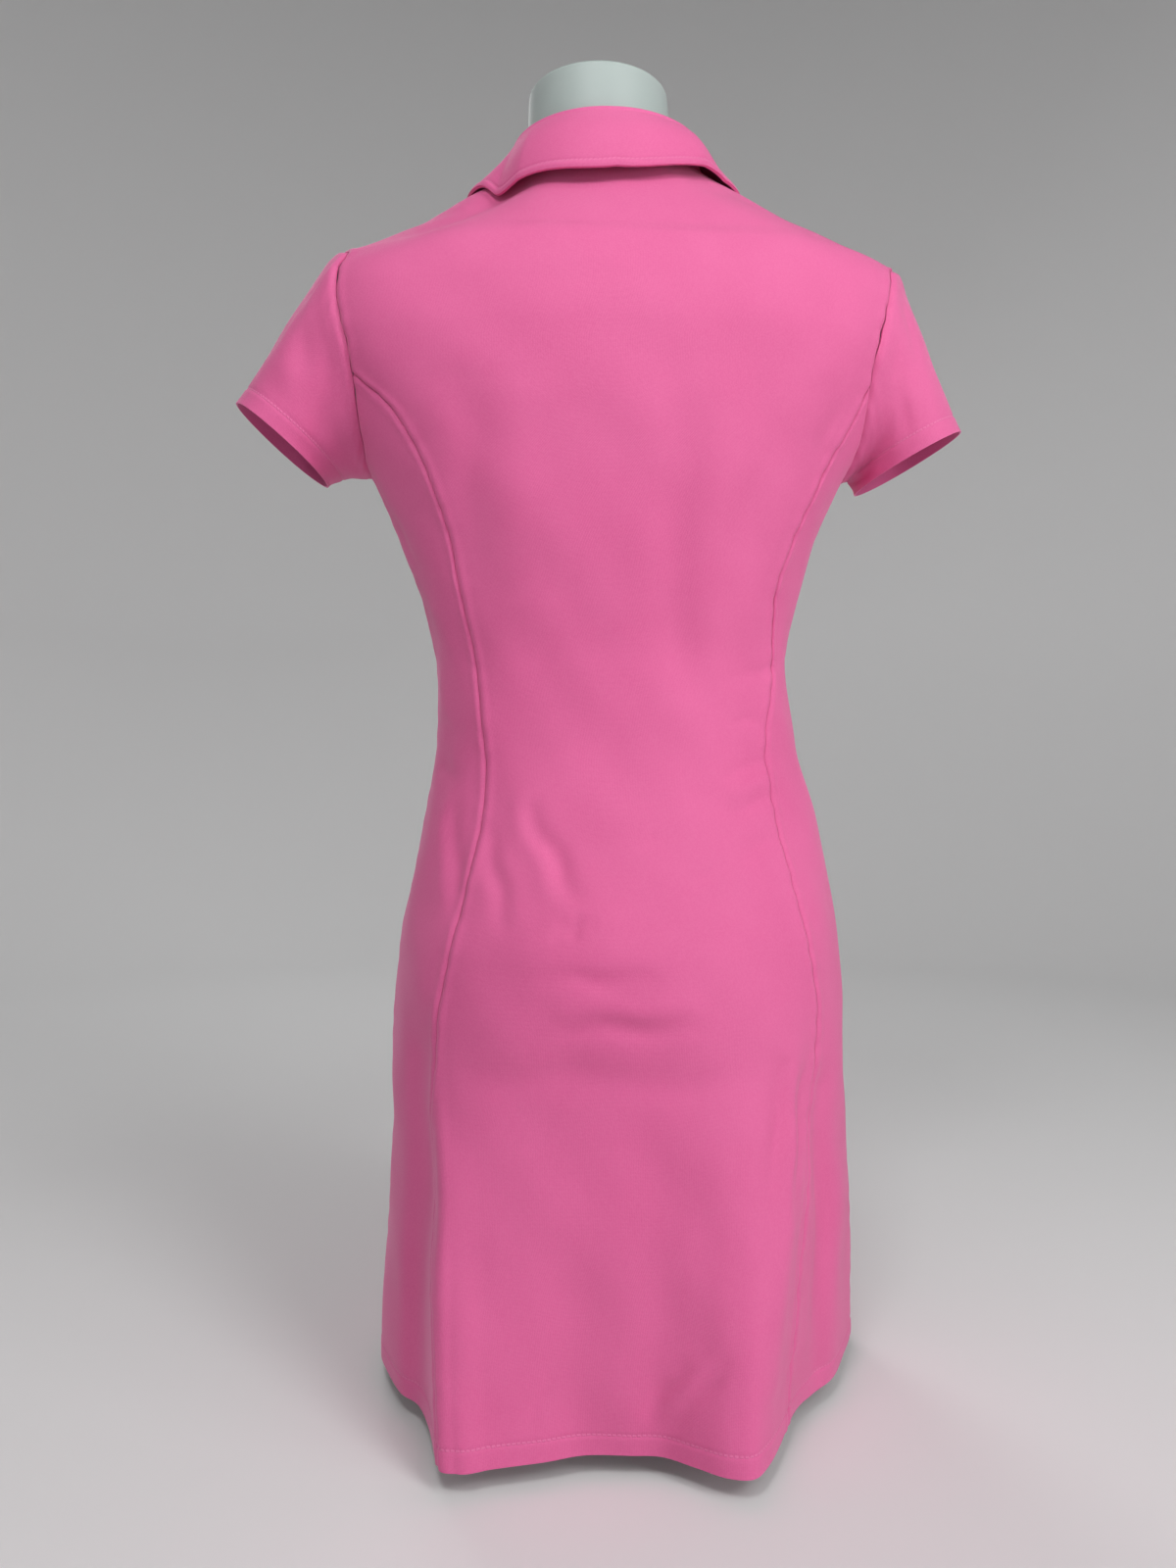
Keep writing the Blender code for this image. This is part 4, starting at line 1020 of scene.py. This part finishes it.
def make_collar():
    turns = np.concatenate([np.arange(0.0, 166.0, 1.6), np.linspace(166.5, COLLAR_END, 9)])
    stand, arc = np.linspace(0, 0.95, 9), np.linspace(180.0, 0.0, 11)
    fall = np.concatenate([np.linspace(0, 0.84, 17)[1:], np.linspace(0.86, 1.0, 11)])
    rows = [collar_profile(t, "left", stand, arc, fall) for t in turns[::-1]]
    rows += [collar_profile(t, "right", stand, arc, fall) for t in turns[1:]]
    middle = np.array(rows)
    along, across = np.gradient(middle, axis=0), np.gradient(middle, axis=1)
    normal = unit(np.cross(across, along))
    centre = np.array([*COLLAR_CENTRE, 0.7])
    if (normal[:, -8] * (middle[:, -8] - centre)).sum() < 0:
        normal = -normal
    down = steps(middle, 1)
    to_edge = down[:, -1:] - down
    run = steps(middle, 0)
    to_end = np.minimum(run, run[-1:] - run)
    near = np.minimum(to_edge, to_end)
    is_fall = 1 / (1 + np.exp((to_edge - 0.044) / 0.002))
    groove = -0.0006 * np.exp(-(((near - COLLAR_STITCH) / 0.0010) ** 2))
    groove = groove + 0.0004 * np.exp(-(((near - COLLAR_STITCH / 2) / 0.0016) ** 2))
    wave = 0.00035 * np.sin(run * 60.0 + 0.8) * np.sin(down * 70.0 + 0.3)
    rise = groove * is_fall + wave
    half = COLLAR_CLOTH / 2
    taper = 0.75 + 0.25 * np.clip(near / 0.0012, 0, 1)
    outer = middle + (half * taper + rise)[..., None] * normal
    inner = middle - (half * taper)[..., None] * normal
    values = {"run": run, "up": down, "stitch": np.where(is_fall > 0.5, near - COLLAR_STITCH, 0.01)}
    obj = shell("collar_cloth", outer, inner, values=values)
    dress(obj, KNIT, "collar")


# ---- form, stand and buttons
def tube_faces(levels, count):
    """Faces of a closed tube through levels of count points, from low to high."""
    faces = [list(range(count))[::-1], [(levels - 1) * count + n for n in range(count)]]
    for k in range(levels - 1):
        for i in range(count):
            j = (i + 1) % count
            faces.append([k * count + i, k * count + j, (k + 1) * count + j, (k + 1) * count + i])
    return faces


def rings_object(name, rings, material, node, sharp=35.0):
    """A closed solid through rings of points, each with the same number of points, from low to high."""
    rings = np.array(rings)
    levels, count = rings.shape[:2]
    obj = add_object(name, mesh_of(name, rings.reshape(-1, 3), tube_faces(levels, count)), sharp)
    return dress(obj, material, node)


def make_form():
    """The dress form: a rounded underside, the body's sections moved in, and the cut neck."""
    angles = np.arange(0.0, 360.0, 3.0)
    underside = ((0.0, 0.030), (0.001, 0.022), (0.004, 0.013), (0.008, 0.008), (0.013, 0.004), (0.02, 0.001))
    levels = [(FORM_BOTTOM + rise, inset) for rise, inset in underside]
    levels += [(height, 0.0) for height in np.arange(FORM_BOTTOM + 0.03, NECK_TOP - NECK_EDGE, 0.005)]
    levels = [(height, float(body("ease", height)) + inset) for height, inset in levels]
    for swing in np.radians(np.linspace(0, 90, 7)):
        levels.append((NECK_TOP - NECK_EDGE + NECK_EDGE * math.sin(swing), NECK_EDGE * (1 - math.cos(swing))))
    rings = [section_point(angles, height + 0 * angles, inset) for height, inset in levels]
    rings_object("form_torso_look", rings, FORM, "form_torso")


def turned(name, profile, centre, out, side, up, material, node, sides=96):
    """A turned solid from rows of (radius, height) on an axis."""
    turns = np.linspace(0, 2 * math.pi, sides, endpoint=False)
    rings = [[np.array(centre) + h * out + r * (math.cos(a) * side + math.sin(a) * up) for a in turns]
             for r, h in profile]
    return rings_object(name, rings, material, node)


def make_stand():
    x, y, z = np.eye(3)
    edge = 0.003
    profile = [(BASE_RADIUS - 0.001, 0.0), (BASE_RADIUS, 0.001)]
    for swing in np.radians(np.linspace(0, 90, 6)):
        inset, drop = edge * (1 - math.cos(swing)), edge * (1 - math.sin(swing))
        profile.append((BASE_RADIUS - inset, BASE_HEIGHT - drop))
    profile += [(0.030, BASE_HEIGHT), (0.012, BASE_HEIGHT)]
    turned("stand_base_look", profile, (0, 0, 0), z, x, y, STEEL, "stand_base", 128)
    bottom, top = BASE_HEIGHT + SEAM_GAP, FORM_BOTTOM - SEAM_GAP
    pole = [(POLE_RADIUS, bottom), (POLE_RADIUS, top)]
    turned("stand_pole_look", pole, (0, 0, 0), z, x, y, STEEL, "stand_pole", 48)


def make_buttons():
    for k, height in enumerate(BUTTON_HEIGHTS):
        angle = angle_where(PLACKET_X, 0, height, 225.0, 315.0)
        seat, out = body_point(angle, height), body_normal(angle, height)
        side = unit(np.cross([0.0, 0.0, 1.0], out))
        up = np.cross(out, side)
        r, h = BUTTON_RADIUS, BUTTON_HEIGHT
        profile = [(0.72 * r, 0), (0.92 * r, 0.1 * h), (r, 0.35 * h), (r, 0.7 * h), (0.96 * r, 0.92 * h),
                   (0.88 * r, h), (0.78 * r, 0.97 * h), (0.68 * r, 0.8 * h), (0.60 * r, 0.72 * h),
                   (0.1 * r, 0.70 * h)]
        seat = seat + BUTTON_SEAT * out
        name = "button_" + str(k + 1)
        turned(name + "_look", profile, seat, out, side, up, BUTTON, name, 48)
        for n, a in enumerate((1, -1)):
            start = seat + THREAD_REACH * (a * side + up) + 0.78 * h * out
            end = seat - THREAD_REACH * (a * side + up) + 0.78 * h * out
            wide = np.cross(out, unit(end - start))
            rings = [[p + THREAD_RADIUS * (math.cos(t) * wide + math.sin(t) * out) + lift * out
                      for t in np.linspace(0, 2 * math.pi, 10, endpoint=False)]
                     for p, lift in ((start, -0.0002), (start * 0.7 + end * 0.3, 0.0003 + 0.0003 * n),
                                     (start * 0.3 + end * 0.7, 0.0003 + 0.0003 * n), (end, -0.0002))]
            mesh = mesh_of("thread", np.array(rings).reshape(-1, 3), tube_faces(4, 10))
            obj = add_object(name + "_thread_" + str(n + 1), mesh)
            obj.data.materials.append(THREAD)
            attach(obj, "root")


# ---- stage, light and camera
FLOOR_RADIUS = 1.9
BEND = 0.9  # radius of the curve from the floor up into the backdrop
BACKDROP_TOP = 3.2


def make_stage():
    """A plain pale floor that curves up into a backdrop all round."""
    profile = [(FLOOR_RADIUS, 0.0)]
    for a in np.radians(np.linspace(6, 90, 15)):
        profile.append((FLOOR_RADIUS + BEND * math.sin(a), BEND - BEND * math.cos(a)))
    profile.append((FLOOR_RADIUS + BEND, BACKDROP_TOP))
    turns = np.radians(np.arange(0.0, 360.0, 3.0))
    points = [(r * math.cos(a), r * math.sin(a), z) for r, z in profile for a in turns]
    walls = tube_faces(len(profile), len(turns))[2:]
    faces = [list(range(len(turns)))] + [[face[0], *face[:0:-1]] for face in walls]
    mesh = bpy.data.meshes.new("backdrop")
    mesh.from_pydata(points, [], faces)
    mesh.polygons.foreach_set("use_smooth", [True] * len(mesh.polygons))
    mesh.materials.append(new_material("paper", {
        "Base Color": (0.74, 0.74, 0.74, 1.0), "Roughness": 0.9,
        "Emission Color": (1.0, 1.0, 1.0, 1.0), "Emission Strength": 0.04,
    })[0])
    obj = new_object("backdrop", mesh)


MIDDLE = (0.0, 0.0, 0.5)
LAMPS = (
    # name, place, what it shines on, size and power
    ("top", (0.0, 0.55, 2.75), MIDDLE, 1.1, 3.0),
    ("key", (-1.1, 1.6, 1.7), MIDDLE, 0.8, 14.0),
    ("high", (-0.9, 1.2, 2.4), MIDDLE, 0.8, 7.0),
    ("low", (-1.5, 1.2, 0.5), MIDDLE, 0.8, 8.0),
    ("fill", (0.8, 1.3, 2.7), MIDDLE, 0.7, 2.0),
    ("near", (0.25, 0.95, 1.45), (0.15, 0.0, 0.65), 0.35, 5.5),
    ("front", (0.7, -1.9, 1.9), MIDDLE, 1.0, 10.0),
)


def make_light():
    """Soft lamps behind the dress, most of them to the wearer's right and above, and one in front."""
    world = bpy.data.worlds.new("studio")
    world.use_nodes = True
    background = world.node_tree.nodes["Background"]
    background.inputs["Color"].default_value = (1.0, 1.0, 1.0, 1.0)
    background.inputs["Strength"].default_value = 0.015
    bpy.context.scene.world = world
    for name, place, target, size, power in LAMPS:
        light = bpy.data.lights.new(name, "AREA")
        light.shape = "DISK"
        light.size = size
        light.energy = power
        obj = new_object(name, light)
        obj.location = place
        obj.rotation_euler = (Vector(target) - Vector(place)).to_track_quat("-Z", "Y").to_euler()


PHOTO_SIZE = (1200, 1600)
PHOTO_FOCAL = 1209.0  # the lens's focal length in the photo's pixels
CAMERA_AWAY = 0.84
CAMERA_HEIGHT = 0.412
CAMERA_TURN = math.radians(3.5)  # to the wearer's left of straight behind
CAMERA_ASIDE = 0.023
FILM_HEIGHT = 36.0


def make_camera():
    """The photo's camera: level, behind the dress and a little to its left."""
    data = bpy.data.cameras.new("camera")
    data.sensor_fit = "VERTICAL"
    data.sensor_height = FILM_HEIGHT
    data.sensor_width = FILM_HEIGHT * PHOTO_SIZE[0] / PHOTO_SIZE[1]
    data.lens = FILM_HEIGHT * PHOTO_FOCAL / PHOTO_SIZE[1]
    data.clip_start = 0.02
    obj = new_object("camera", data)
    back = Vector((math.sin(CAMERA_TURN), math.cos(CAMERA_TURN), 0.0))
    right = Vector((-math.cos(CAMERA_TURN), math.sin(CAMERA_TURN), 0.0))
    obj.location = CAMERA_AWAY * back - CAMERA_ASIDE * right + Vector((0, 0, CAMERA_HEIGHT))
    obj.rotation_euler = (-back).to_track_quat("-Z", "Y").to_euler()
    bpy.context.scene.camera = obj


make_back()
make_front()
for side in ("left", "right"):
    make_sleeve(side)
make_collar()
make_form()
make_stand()
make_buttons()
make_stage()
make_light()
make_camera()
bpy.context.scene.view_settings.view_transform = "Standard"
